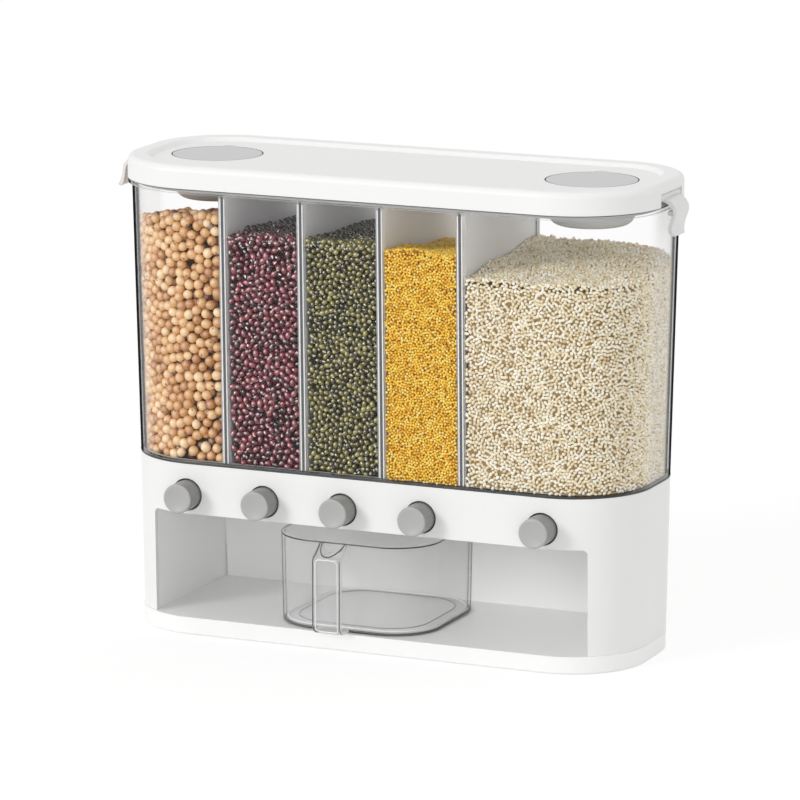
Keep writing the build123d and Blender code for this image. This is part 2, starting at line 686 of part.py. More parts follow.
def latch(side, swing):
    """Latch with a rounded tongue, swung out by swing degrees from its released place."""
    side_plane = Plane((0, LATCH_HALF_W, 0), x_dir=(1, 0, 0), z_dir=(0, -1, 0))
    plate = extrude(side_plane * latch_profile(), 2 * LATCH_HALF_W)
    tongue = Pos(0, -LATCH_DROP / 2) * Rectangle(2 * LATCH_HALF_W, LATCH_DROP + 2 * LATCH_BARREL_R)
    tongue = fillet(tongue.vertices().group_by(Axis.Y)[0], LATCH_TONGUE_R)
    face_plane = Plane((0, 0, 0), x_dir=(0, 1, 0), z_dir=(1, 0, 0))
    plate &= extrude(face_plane * tongue, LENGTH)
    barrel_y = LATCH_SLOT_HALF_W - LATCH_SIDE_GAP
    plate += rod_y(0, 0, (-barrel_y, barrel_y), LATCH_BARREL_R)
    hook_x = half_length + lid_grow - RIM_INSET + HOOK_GAP - pin_x
    hook_z = rim_z[0] - HOOK_GAP - pin_z
    plate += block(
        (hook_x, LATCH_SPREAD - LATCH_T / 2),
        (-HOOK_HALF_W, HOOK_HALF_W),
        (hook_z - HOOK_H, hook_z),
    )
    plate -= rod_y(0, 0, (-LENGTH, LENGTH), LATCH_PIN_R + LATCH_PIN_GAP)
    if side < 0:
        plate = mirror(plate, Plane.YZ)
    return Pos(side * pin_x, latch_y, pin_z) * Rot(0, -side * swing, 0) * plate


def latch_pin(side):
    """Hinge pin of a latch, held in the lid's lugs."""
    return rod_y(side * pin_x, pin_z, (latch_y - pin_half, latch_y + pin_half), LATCH_PIN_R)


def button(x):
    """Hollow push button with a dished face and a socket for the gate's tongue."""
    body = rod_y(x, button_z, (button_face_y, button_rear_y), BUTTON_R)
    body = fillet(body.edges().sort_by(Axis.Y)[0], BUTTON_EDGE_R)
    dish_half = BUTTON_R - BUTTON_WALL
    dish_r = (dish_half**2 + BUTTON_DISH**2) / (2 * BUTTON_DISH)
    body -= Pos(x, button_face_y + BUTTON_DISH - dish_r, button_z) * Sphere(dish_r)
    floor_y = button_face_y + BUTTON_DISH + BUTTON_WALL
    body -= rod_y(x, button_z, (floor_y, button_rear_y + OVERCUT), BUTTON_R - BUTTON_WALL)
    half_w = GATE_TONGUE_W / 2 + SLIDE_GAP
    half_t = GATE_T / 2 + SLIDE_GAP
    post_w = half_w + SOCKET_WALL
    post_t = half_t + SOCKET_WALL
    post_z = (button_z - post_t, button_z + post_t)
    body += block((x - post_w, x + post_w), (floor_y, button_rear_y), post_z)
    socket_y = (button_rear_y - GATE_TONGUE_L - SLIDE_GAP, button_rear_y + OVERCUT)
    return body - block((x - half_w, x + half_w), socket_y, (button_z - half_t, button_z + half_t))


def gate(x):
    """Slide gate: a plate with a port, a tongue into the button and a spigot for the spring."""
    half_w = GATE_W / 2
    plate_z = (gate_bottom_z, gate_top_z)
    plate = block((x - half_w, x + half_w), (gate_front_y, gate_rear_y), plate_z)
    port_y = (port_rest_y - SPOUT_L / 2, port_rest_y + SPOUT_L / 2)
    half_port = SPOUT_W / 2
    plate -= block((x - half_port, x + half_port), port_y, (gate_bottom_z - OVERCUT, gate_top_z + OVERCUT))
    half_tongue = GATE_TONGUE_W / 2
    tongue_y = (button_rear_y - GATE_TONGUE_L, gate_front_y)
    plate += block((x - half_tongue, x + half_tongue), tongue_y, plate_z)
    seat = block(
        (x - SEAT_HALF_W, x + SEAT_HALF_W),
        (gate_rear_y - SEAT_T, gate_rear_y),
        (gate_bottom_z, button_z + SPRING_R + SPRING_WIRE_R),
    )
    return plate + seat + rod_y(x, button_z, (gate_rear_y - SEAT_T, gate_rear_y + SPIGOT_L), SPIGOT_R)


def return_spring(x):
    """Compression spring between the gate and its seat, as a many-sided helix."""
    count = SPRING_TURNS * SPRING_STEPS
    start_y = gate_rear_y + SPRING_WIRE_R + SLIDE_GAP
    run = spring_rear_y - SPRING_WIRE_R - SLIDE_GAP - start_y
    points = []
    for i in range(count + 1):
        angle = 2 * pi * i / SPRING_STEPS
        points.append(
            (x + SPRING_R * cos(angle), start_y + run * i / count, button_z + SPRING_R * sin(angle))
        )
    path = Polyline(points)
    section = Plane(path @ 0, z_dir=path % 0) * RegularPolygon(SPRING_WIRE_R, SPRING_WIRE_SIDES)
    return sweep(section, path=path, transition=Transition.RIGHT)


def measuring_cup():
    """Clear cup with rounded corners, a foot ring and a strap handle that loops from rim to foot."""
    x, y = MEASURE_X, measure_y
    rim_top_z = measure_z + measure_h

    def prism(offset, z):
        sections = []
        for height in z:
            grow = MEASURE_DRAFT * (height - measure_z) / measure_h + offset
            side = measure_w + 2 * grow
            sections.append(Pos(x, y, height) * RectangleRounded(side, side, MEASURE_CORNER_R + grow))
        return loft(sections, ruled=True)

    cup = prism(0, (measure_z, rim_top_z))
    cup = fillet(cup.edges().group_by(Axis.Z)[0], MEASURE_EDGE_R)
    cup -= prism(-MEASURE_FOOT_W, (measure_z - OVERCUT, measure_z + MEASURE_FOOT_H))

    outer_y = y - measure_w / 2 - HANDLE_REACH
    inner_y = y - measure_w / 2 + MEASURE_EDGE_R + MEASURE_WALL
    side_plane = Plane((x + HANDLE_X - HANDLE_W / 2, 0, 0), x_dir=(0, 1, 0), z_dir=(1, 0, 0))
    wall_y = y - measure_w / 2 - MEASURE_DRAFT
    strap = make_face(
        Polyline(
            (inner_y, measure_z),
            (outer_y, measure_z),
            (outer_y, rim_top_z - HANDLE_FALL),
            (wall_y, rim_top_z),
            (inner_y, rim_top_z),
            close=True,
        )
    )
    strap = fillet(strap.vertices().sort_by(Axis.X)[:2].sort_by(Axis.Y)[-1], HANDLE_TOP_R)
    foot = strap.vertices().filter_by(lambda v: v.Y < measure_z + OVERCUT).sort_by(Axis.X)[0]
    strap = fillet(foot, HANDLE_FOOT_R)
    gap = Pos(HANDLE_T, HANDLE_T) * RectangleRounded(
        HANDLE_REACH * 2, measure_h - HANDLE_FALL - 2 * HANDLE_T, HANDLE_TOP_R - HANDLE_T, align=Align.MIN
    )
    strap -= Pos(outer_y, measure_z) * gap
    cup += extrude(side_plane * strap, HANDLE_W)
    scoop_z = rim_top_z - HANDLE_FALL + HANDLE_SCOOP_R
    cup -= rod_y(x + HANDLE_X, scoop_z, (outer_y - OVERCUT, wall_y), HANDLE_SCOOP_R)
    return cup - prism(-MEASURE_WALL, (measure_z + MEASURE_FLOOR, rim_top_z + OVERCUT))


def all_nodes():
    """Every piece by name."""
    nodes = {
        "base_shell": base_shell(),
        "bottom_tray": bottom_tray(),
        "tray_screws": tray_screws(),
        "bay_liner": bay_liner(),
        "deck_front": deck_front(),
        "deck_rear": deck_rear(),
        "deck_webs": deck_webs(),
        "bin": clear_bin(),
        "bin_rim": bin_rim(),
        "lid": lid(),
        "seal_frame": seal_frame(),
        "lid_seal": lid_seal(),
        "measuring_cup": measuring_cup(),
    }
    for i, x in enumerate(divider_xs, 1):
        nodes[f"divider_{i}"] = divider(x)
    for i, x in enumerate(button_xs, 1):
        nodes[f"grain_{i}"] = grain(i - 1)
        nodes[f"hopper_{i}"] = hopper(i - 1)
        nodes[f"gate_guide_{i}"] = gate_guide(x)
        nodes[f"gate_{i}"] = gate(x)
        nodes[f"button_{i}"] = button(x)
        nodes[f"return_spring_{i}"] = return_spring(x)
    for name, side in ends.items():
        nodes[f"desiccant_cup_{name}"] = desiccant_cup(cap_xs[name])
        nodes[f"desiccant_cap_{name}"] = desiccant_cap(cap_xs[name])
        nodes[f"latch_{name}"] = latch(side, LATCH_LEFT_SWING if side < 0 else 0)
        nodes[f"latch_pin_{name}"] = latch_pin(side)
    return nodes


os.makedirs("parts", exist_ok=True)
for name, shape in all_nodes().items():
    export_step(shape, f"parts/{name}.step")
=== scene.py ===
import math

import bpy
import numpy as np
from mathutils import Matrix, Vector
from mathutils.kdtree import KDTree


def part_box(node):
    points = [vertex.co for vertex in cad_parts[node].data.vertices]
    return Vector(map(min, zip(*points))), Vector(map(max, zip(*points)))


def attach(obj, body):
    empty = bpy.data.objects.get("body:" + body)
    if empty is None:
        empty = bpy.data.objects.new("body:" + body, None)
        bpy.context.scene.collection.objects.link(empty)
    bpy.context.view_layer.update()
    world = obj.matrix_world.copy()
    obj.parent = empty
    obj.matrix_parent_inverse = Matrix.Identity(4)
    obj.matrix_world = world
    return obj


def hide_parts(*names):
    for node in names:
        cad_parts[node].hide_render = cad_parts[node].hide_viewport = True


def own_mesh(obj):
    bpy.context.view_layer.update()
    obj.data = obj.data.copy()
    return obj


# Wall-mounted grain dispenser. Lengths are millimetres, and MM turns them into Blender's metres.
MM = 0.001
SEED = 20

# Camera, as the photograph was taken
CAMERA_AZIMUTH = 23.518
CAMERA_ELEVATION = 11.805
CAMERA_DISTANCE = 3627.0
CAMERA_LENS = 235.1
CAMERA_TARGET = (-0.585, 0.0, 165.99)

# Floor and surroundings
FLOOR_REACH = 30_000.0
FLOOR_DROP = 0.2
FLOOR_GREY = 0.86
FLOOR_ROUGHNESS = 0.9
FLOOR_GLOSS = 0.1
FLOOR_GLOW = 1.12
FLOOR_GLOW_SHARE = 0.72  # share of the glow in the floor that is seen; the rest shows the shadow
WORLD_LIGHT = 0.52
WORLD_SEEN = 1.0
# Lamps: direction towards the lamp, power, and the width of its light in degrees
LAMPS = {
    "key": ((-0.50, -0.78, 0.38), 1.15, 20),
    "front": ((0.42, -0.90, 0.12), 0.55, 30),
    "fill": ((0.80, 0.40, 0.42), 0.42, 50),
    "top": ((-0.2, 0.1, 0.97), 0.36, 60),
}

# Outline of the clear bin at its seam, its heights and its walls, as in the solids
HALF_LENGTH = 190.0
HALF_DEPTH = 66.4
FRONT_R = 57.0
REAR_R = 48.0
SEAM_Z = 122.3
RIM_Z = 316.8
BIN_DRAFT = 4.5  # how far the walls lean out from the seam to the rim
BIN_WALL = 2.4
BIN_FLOOR_Z = 124.7
DIVIDER_COUNT = 4
DIVIDER_PITCH = 58.9
FIRST_DIVIDER_X = -104.05
DIVIDERS = tuple(round(FIRST_DIVIDER_X + i * DIVIDER_PITCH, 2) for i in range(DIVIDER_COUNT))
GUIDE_HALF = 2.75  # from the middle of a divider to the outside of its guide ribs
LID_GROW = 7.4  # how far the lid's outline is let out from the bin's
CAP_Y = 2.0  # middle of the caps, from front to back

# Level of each fill at the front wall and at the back wall, its fall for each millimetre towards the end
# of the bin, and how far from the middle that fall starts
LEVELS = (
    (300.3, 280.3, 0.15, 148.0),
    (287.3, 281.3, 0.0, HALF_LENGTH),
    (287.3, 282.3, 0.0, HALF_LENGTH),
    (285.3, 271.3, 0.0, HALF_LENGTH),
    (269.3, 277.3, 0.08, 150.0),
)
WAVE_HEIGHT = 1.2
WAVE_TURN_X = 0.13  # radians of the wave in one millimetre
WAVE_TURN_Y = 0.09

# Layers of grains at the walls and over the top, in grain sizes apart from the first two
WALL_GAP = 0.3
FLOOR_OVERLAP = 1.2  # how far the lowest grains reach into the clear floor
GRAIN_PITCH = 1.03
LAYER_STEP = 0.61  # depth of one layer behind another
WALL_SCATTER = 0.12
WALL_TOP_GAP = 0.3  # how far the middle of a grain at a wall stays under the heap's level
TOP_SCATTER = 0.2
TOP_INSET = 0.55  # from the wall to the middle of the outermost grains of the top
# Painted shade: depth of the darkened top of a heap, and depth of the dark core behind the grains
SHADED_DEPTH = 2.0  # depth of the dark top
CORE_DEPTH = {1: 0.75, 2: 1.1}  # depth of the core behind the grains, by their layers

# Compartments whose heap top gets painted shade behind its front row, and where that row ends
SHADED_TOPS = (1, 2)
SHADED_FROM_Y = -46.0

# Scatter of points: rows and first shake in pitches, then rounds in which close points part
ROW_STEP = 0.866
SHAKE = 0.6
PUSH = 0.35  # share of an overlap that a point moves in one round
COARSE_GRAIN = 3.5  # grains above this size get more rounds
COARSE_ROUNDS = 14
FINE_ROUNDS = 5
# Sizes of the single grains, as shares of the usual size
SIZE_SPREAD = 0.05
SIZE_LIMITS = (0.88, 1.1)
PIECE_TRIANGLES = 190_000  # most triangles in one piece
UV_MARGIN = 0.04  # free edge of each grain's square of the flat map

# Fine bars of painted shade and painted highlight where clear plastic ends or meets another piece: dark
# ones paint shadow gaps and the dark edges of clear plastic, pale ones paint highlights
SEAM_LINE_R = 0.65
LID_LINE_R = 0.3
LID_LINE_INSET = 1.0
CUP_LINE_R = 0.55
CUP_CORNER_R = 33.0
CUP_FOOT_LINE_R = 0.95
CUP_FOOT_LINE_INSET = 1.2
CUP_HALO_INSET = 2.4
CUP_HALO_RISE = 2.6
CUP_RING_LINE_R = 0.3
CUP_RING_INSET = 11.0
CUP_RING_RISE = 3.0
HANDLE_LINE_R = 0.42
HANDLE_X = -6.7  # middle of the handle, from the middle of the cup
HANDLE_W = 21.0
HANDLE_FALL = 7.6  # from the rim of the cup down to the strap
HANDLE_SCOOP_R = 8.6
HANDLE_TOP_R = 4.5
HANDLE_FOOT_R = 8.0
HANDLE_REACH = 13.0  # depth of the handle, from its front
GLINT_R = 0.4
GLINT_INSET = 2.2
GLINT_CORNER_R = 3.0
# Lines on each divider, painted highlights of its guide ribs and a painted shade between them: offset from
# its middle, radius, wall (front -1, back 1) and material
DIVIDER_LINES = {
    "left": (-1.5, 0.75, -1, "painted_bright_line"),
    "right": (1.4, 0.5, -1, "painted_bright_line"),
    "rear": (2.9, 0.8, 1, "painted_bright_line"),
    "rear_shade": (1.6, 0.5, 1, "painted_dark_line"),
}
DIVIDER_LINE_TOP = 311.0
LINE_SIDES = 8
ARC_STEPS = 16
UPRIGHT, FORWARD, SIDEWAYS = (0, 0, 1), (0, 1, 0), (1, 0, 0)

# Faces of the solids that get a material of their own
FLAT = 0.9  # how square to an axis a face is when it is picked by its normal
BIN_END = 0.7  # turn to the side from which a wall of the bin counts as its end
FACE_NEAR = 0.3  # margin when a face is picked by its place
CAP_GAP = 1.2  # reach of the gap round a cap, past the cap's radius

# Moulded plastics and rubber: colour, roughness and radius of the softened edges
MOULDED = {
    "white_plastic": ((243, 243, 242), 0.3, 0.7),
    # Paler copy of the white plastic: painted light in the shaded bay
    "bay_painted_light_plastic": ((252, 252, 251), 0.36, 0.7),
    "lid_plastic": ((244, 244, 243), 0.46, 1.0),
    "grey_plastic": ((205, 205, 205), 0.46, 0.6),
    "button_plastic": ((176, 176, 175), 0.36, 0.8),
    # Darker copy of the grey plastics: painted shade on the sides of the caps and the buttons
    "painted_shade_side_plastic": ((138, 138, 137), 0.36, 0.4),
    "latch_plastic": ((232, 232, 231), 0.34, 0.5),
    "frosted_plastic": ((250, 250, 250), 0.5, 0.3),
    # Dark copy of the frosted plastic: painted shade on the front edges of the dividers
    "painted_divider_shade": ((84, 85, 86), 0.4, 0.1),
    "seal_rubber": ((206, 206, 204), 0.6, 0.3),
    # Painted shade in the gaps round the caps
    "painted_gap_shade": ((96, 97, 98), 0.5, 0.1),
    # Colours of the painted lines: shade in gaps and on dark edges of clear plastic, soft shade, and
    # highlights
    "painted_dark_line": ((46, 47, 49), 0.3, 0.1),
    "painted_soft_line": ((120, 122, 124), 0.3, 0.1),
    "painted_bright_line": ((246, 246, 246), 0.2, 0.1),
}
CLOUD_SCALE = 14.0
CLOUD_DETAIL = 3.0
CLOUD_DIM = 0.965  # share of its brightness that the plastic keeps in the darkest cloud
GLOSS_SPREAD = 0.05
TEXTURE_SCALE = 1500.0
TEXTURE_DETAIL = 2.0
TEXTURE_STRENGTH = 0.25
TEXTURE_HEIGHT = 0.01
BEVEL_SAMPLES = 6

# Clear plastics: turn from the eye (0 square to it, 1 edge on), with the tone and the cover there; a dark
# tone edge on is painted shade for the dark edges of clear plastic
CLEAR = {
    "bin_plastic": (
        (0.0, 0.6, 0.012),
        (0.5, 0.7, 0.03),
        (0.62, 0.85, 0.16),
        (0.7, 0.5, 0.25),
        (0.78, 0.01, 0.9),
        (1.0, 0.005, 0.97),
    ),
    "cup_plastic": (
        (0.0, 0.95, 0.1),
        (0.5, 0.95, 0.12),
        (0.68, 0.9, 0.2),
        (0.78, 0.5, 0.3),
        (0.88, 0.2, 0.5),
        (1.0, 0.05, 0.8),
    ),
    "wall_plastic": ((0.0, 0.6, 0.012), (0.5, 0.7, 0.03), (0.62, 0.85, 0.16), (1.0, 0.9, 0.3)),
    # Painted highlight: near-opaque pale faces on the guide ribs and on the sides of the cup's handle
    "painted_bright_plastic": ((0.0, 0.95, 0.5), (0.6, 0.95, 0.8), (1.0, 0.9, 0.9)),
    "level_plastic": ((0.0, 0.9, 0.03), (0.6, 0.95, 0.2), (0.78, 0.97, 0.6), (1.0, 0.97, 0.7)),
}
CLEAR_SHADE = 0.08  # share of its cover that clear plastic keeps against light passing through
CLEAR_BLEND = 0.5
CLEAR_CLOUD_SCALE = 30.0
CLEAR_CLOUD_DETAIL = 2.0
CLEAR_ROUGHNESS = (0.03, 0.08)
CLEAR_GLOSS = 0.5
DULL_EDGE = (0.6, 0.76)  # turn from the eye over which clear plastic loses its gloss

STEEL_TONES = ((150, 150, 154), (196, 196, 198))
STEEL_MARK_SCALE = 900.0
STEEL_MARK_DETAIL = 4.0
STEEL_ROUGHNESS = (0.25, 0.45)

# Material of the nodes whose names start so; a later row goes over an earlier one
NODE_LOOKS = (
    ("base_shell", "white_plastic"),
    ("bottom_tray", "bay_painted_light_plastic"),
    ("bay_liner", "bay_painted_light_plastic"),
    ("deck_", "bay_painted_light_plastic"),
    ("gate_", "white_plastic"),
    ("lid", "lid_plastic"),
    ("seal_frame", "lid_plastic"),
    ("lid_seal", "seal_rubber"),
    ("desiccant_", "grey_plastic"),
    ("button_", "button_plastic"),
    ("latch_", "latch_plastic"),
    ("latch_pin", "steel"),
    ("divider_", "frosted_plastic"),
    ("tray_screws", "steel"),
    ("return_spring", "steel"),
    ("bin", "bin_plastic"),
    ("hopper_", "bin_plastic"),
    ("measuring_cup", "cup_plastic"),
)

# Grains of each compartment: full axes, segments of the ball, layers at the walls, roughness, gloss, coat,
# painted highlight on the side that faces the light (strength, and the turns at which it starts and is
# full), colours from the darkest, a painted shade for grains behind the outer layer and in shaded tops, to
# the palest grain, eye mark (half width, half height and colour; the white eyes of the red and green beans
# are real marks drawn larger, so that they also paint highlights) and colour of the core, a painted shade
# between the grains
GRAINS = (
    {
        "name": "soybeans", "axes": (7.5, 7.0, 6.6), "segments": 5, "layers": 2,
        "rough": 0.34, "gloss": 0.6, "coat": 0.0, "painted_highlight": (0.22, 0.72, 1.0),
        "stops": ((104, 60, 24), (178, 116, 58), (214, 160, 98), (236, 192, 136), (250, 222, 178)),
        "eye": (0.16, 0.36, (112, 70, 34)),
        "core": (48, 25, 9),
    },
    {
        "name": "red_beans", "axes": (5.8, 4.3, 4.2), "segments": 4, "layers": 2,
        "rough": 0.2, "gloss": 0.5, "coat": 0.8, "painted_highlight": (0.4, 0.9, 0.98),
        "stops": ((27, 13, 16), (61, 14, 25), (98, 24, 40), (130, 44, 58), (162, 82, 91)),
        # white eye: a real mark, drawn larger so that it also paints highlights
        "eye": (0.2, 0.56, (250, 240, 236)),
        "core": (18, 4, 6),
    },
    {
        "name": "green_beans", "axes": (4.6, 3.6, 3.5), "segments": 4, "layers": 2,
        "rough": 0.2, "gloss": 0.5, "coat": 0.8, "painted_highlight": (0.4, 0.9, 0.98),
        "stops": ((18, 17, 6), (49, 46, 7), (84, 78, 17), (116, 108, 36), (158, 148, 76)),
        # white eye: a real mark, drawn larger so that it also paints highlights
        "eye": (0.2, 0.5, (246, 244, 226)),
        "core": (13, 13, 4),
    },
    {
        "name": "millet", "axes": (2.2, 2.05, 2.0), "segments": 2, "layers": 2,
        "rough": 0.45, "gloss": 0.5, "coat": 0.0, "painted_highlight": None,
        "stops": ((168, 110, 8), (226, 164, 20), (251, 202, 48), (255, 220, 84), (255, 238, 144)),
        "eye": None,
        "core": (188, 124, 18),
    },
    {
        "name": "pearl_grain", "axes": (3.5, 2.3, 2.15), "segments": 3, "layers": 1,
        "rough": 0.45, "gloss": 0.5, "coat": 0.0, "painted_highlight": None,
        "stops": ((200, 170, 122), (226, 206, 166), (243, 231, 201), (250, 243, 222), (254, 251, 241)),
        "eye": (0.2, 0.3, (176, 136, 84)),
        "core": (176, 146, 98),
    },
)
COAT_ROUGHNESS = 0.1
# Painted highlight on the grains: the direction that its side faces, and its pale colour
HIGHLIGHT_TOWARDS = (-0.06, -0.94, 0.33)
HIGHLIGHT_COLOUR = (255, 248, 242)
EYE_EDGE = (0.75, 1.1)  # distance from its middle, in half sizes, over which the eye fades out
EYE_FRONT = (0.1, 0.4)  # place along the grain's own X over which the eye comes in
MOTTLE_SCALE = 700.0
MOTTLE_DETAIL = 3.0
MOTTLE_TINT = 0.5  # spread of the tint over one grain
MOTTLE_ROUGHNESS = (-0.08, 0.1)
MOTTLE_STRENGTH = 0.3
MOTTLE_HEIGHT = 0.08
TINT_LOW = 0.2  # tint of the darkest grains in the outer layer; the palest have tint 1
TINT_SHAPE = 1.6
# Painted shade: tint taken from grains behind the outer layer and from grains in a shaded top
DEPTH_SHADE_TINT = 0.4  # tint lost by the layer behind the outer one
SHADE_TINT = -0.4  # change of tint in a shaded top
CORE_PATCH_SCALE = 420.0
CORE_PATCH_DETAIL = 3.0
CORE_DIM = 0.45
CORE_ROUGHNESS = 0.9

# Sockets of a Mix node that mixes colours
MIX_FIRST, MIX_SECOND, MIX_RESULT = 6, 7, 2


def srgb(*screen):
    """Colour on a screen's 0 to 255 scale as a linear colour."""
    shares = [value / 255 for value in screen]
    linear = [v / 12.92 if v < 0.04045 else ((v + 0.055) / 1.055) ** 2.4 for v in shares]
    return (*linear, 1.0)


def grey(value):
    """Linear grey."""
    return (value, value, value, 1.0)


def dimmed(colour, share):
    """Linear colour of which only a share is left."""
    return (*(share * value for value in colour[:3]), 1.0)


def even_stops(colours):
    """Stops of a ramp at even steps."""
    return [(i / (len(colours) - 1), colour) for i, colour in enumerate(colours)]


class Nodes:
    """Node tree of a material or of the world, with short ways to add and join nodes."""

    def __init__(self, tree):
        self.tree = tree

    def add(self, kind, **values):
        """New node, each value set on the input of that name or else on the node."""
        node = self.tree.nodes.new("ShaderNode" + kind)
        for key, value in values.items():
            if key in node.inputs:
                node.inputs[key].default_value = value
            else:
                setattr(node, key, value)
        return node

    def link(self, source, socket):
        """Joins an output to an input."""
        self.tree.links.new(source, socket)

    def calc(self, operation, *values, clamp=False):
        """Result of one operation on outputs and plain numbers."""
        node = self.add("Math", operation=operation, use_clamp=clamp)
        for socket, value in zip(node.inputs, values):
            if isinstance(value, bpy.types.NodeSocket):
                self.link(value, socket)
            else:
                socket.default_value = value
        return node.outputs["Value"]

    def ranged(self, source, low, high, start=0.0, end=1.0):
        """Maps the range from start to end onto low to high."""
        limits = {"From Min": start, "From Max": end, "To Min": low, "To Max": high}
        node = self.add("MapRange", **limits)
        self.link(source, node.inputs["Value"])
        return node.outputs["Result"]

    def noise(self, scale, detail):
        """Noise over the object's own coordinates."""
        node = self.add("TexNoise", Scale=scale, Detail=detail)
        self.link(self.add("TexCoord").outputs["Object"], node.inputs["Vector"])
        return node.outputs["Fac"]

    def ramp(self, source, stops):
        """Colour that a value picks from stops, each a place and a colour."""
        node = self.add("ValToRGB")
        elements = node.color_ramp.elements
        while len(elements) < len(stops):
            elements.new(0.5)
        for element, (place, colour) in zip(elements, stops):
            element.position = place
            element.color = colour
        self.link(source, node.inputs["Fac"])
        return node.outputs["Color"]

    def mixed(self, share, first, second):
        """Colour output, covered by a share of a plain colour."""
        node = self.add("Mix", data_type="RGBA")
        self.link(share, node.inputs["Factor"])
        self.link(first, node.inputs[MIX_FIRST])
        node.inputs[MIX_SECOND].default_value = second
        return node.outputs[MIX_RESULT]

    def relief(self, height, strength, distance):
        """Bump node over a height, for a distance in millimetres."""
        node = self.add("Bump", Strength=strength, Distance=distance * MM)
        self.link(height, node.inputs["Height"])
        return node


def new_material(name):
    """Node material with its tree and its shader."""
    material = bpy.data.materials.new(name)
    material.use_nodes = True
    tree = material.node_tree
    return material, Nodes(tree), tree.nodes["Principled BSDF"]


def moulded(name, colour, roughness, edge):
    """Moulded plastic: faint clouding, uneven gloss, fine texture and softened edges."""
    material, nodes, shader = new_material(name)
    cloud = nodes.noise(CLOUD_SCALE, CLOUD_DETAIL)
    tone = nodes.ramp(cloud, even_stops((dimmed(colour, CLOUD_DIM), colour)))
    nodes.link(tone, shader.inputs["Base Color"])
    uneven = nodes.ranged(cloud, roughness - GLOSS_SPREAD, roughness + GLOSS_SPREAD)
    nodes.link(uneven, shader.inputs["Roughness"])
    soft = nodes.add("Bevel", samples=BEVEL_SAMPLES, Radius=edge * MM)
    texture = nodes.noise(TEXTURE_SCALE, TEXTURE_DETAIL)
    relief = nodes.relief(texture, TEXTURE_STRENGTH, TEXTURE_HEIGHT)
    nodes.link(soft.outputs["Normal"], relief.inputs["Normal"])
    nodes.link(relief.outputs["Normal"], shader.inputs["Normal"])
    return material


def clear(name, stops):
    """Clear plastic whose tone and cover change with its turn from the eye, with painted dark edges where
    the stops darken; most light passes it.
    """
    material, nodes, shader = new_material(name)
    turn = nodes.add("LayerWeight", Blend=CLEAR_BLEND).outputs["Facing"]
    tone = nodes.ramp(turn, [(place, grey(value)) for place, value, _ in stops])
    cover = nodes.ramp(turn, [(place, grey(value)) for place, _, value in stops])
    nodes.link(tone, shader.inputs["Base Color"])
    path = nodes.add("LightPath").outputs
    light = nodes.calc("MAXIMUM", path["Is Shadow Ray"], path["Is Diffuse Ray"])
    kept = nodes.ranged(light, 1.0, CLEAR_SHADE)
    nodes.link(nodes.calc("MULTIPLY", cover, kept), shader.inputs["Alpha"])
    cloud = nodes.noise(CLEAR_CLOUD_SCALE, CLEAR_CLOUD_DETAIL)
    nodes.link(nodes.ranged(cloud, *CLEAR_ROUGHNESS), shader.inputs["Roughness"])
    gloss = nodes.ranged(turn, CLEAR_GLOSS, 0.0, *DULL_EDGE)
    nodes.link(gloss, shader.inputs["Specular IOR Level"])
    return material


def steel(name):
    """Plain steel with fine drawn marks."""
    material, nodes, shader = new_material(name)
    marks = nodes.noise(STEEL_MARK_SCALE, STEEL_MARK_DETAIL)
    tone = nodes.ramp(marks, even_stops([srgb(*colour) for colour in STEEL_TONES]))
    nodes.link(tone, shader.inputs["Base Color"])
    nodes.link(nodes.ranged(marks, *STEEL_ROUGHNESS), shader.inputs["Roughness"])
    shader.inputs["Metallic"].default_value = 1.0
    return material


def make_looks():
    """Materials of the solids and of the fine lines, by name."""
    made = {name: moulded(name, srgb(*colour), *rest) for name, (colour, *rest) in MOULDED.items()}
    made.update({name: clear(name, stops) for name, stops in CLEAR.items()})
    made["steel"] = steel("steel")
    return made


def with_eye(nodes, colour, half_width, half_height, eye_colour):
    """Colour of a grain with its eye, an ellipse on the side towards the grain's own X."""
    local = nodes.add("Attribute", attribute_name="local")
    split = nodes.add("SeparateXYZ")
    nodes.link(local.outputs["Vector"], split.inputs["Vector"])
    spread = nodes.add("CombineXYZ")
    for axis, size in (("Y", half_height), ("Z", half_width)):
        nodes.link(nodes.calc("DIVIDE", split.outputs[axis], size), spread.inputs[axis])
    away = nodes.add("VectorMath", operation="LENGTH")
    nodes.link(spread.outputs["Vector"], away.inputs[0])
    inside = nodes.ranged(away.outputs["Value"], 1.0, 0.0, *EYE_EDGE)
    front = nodes.ranged(split.outputs["X"], 0.0, 1.0, *EYE_FRONT)
    return nodes.mixed(nodes.calc("MULTIPLY", inside, front), colour, srgb(*eye_colour))


def with_painted_highlight(nodes, colour, strength, start, full):
    """Colour of a grain with a painted highlight, paler on the side that faces the light."""
    facing = nodes.add("VectorMath", operation="DOT_PRODUCT")
    nodes.link(nodes.add("NewGeometry").outputs["Normal"], facing.inputs[0])
    facing.inputs[1].default_value = HIGHLIGHT_TOWARDS
    share = nodes.ranged(facing.outputs["Value"], 0.0, strength, start, full)
    return nodes.mixed(share, colour, srgb(*HIGHLIGHT_COLOUR))


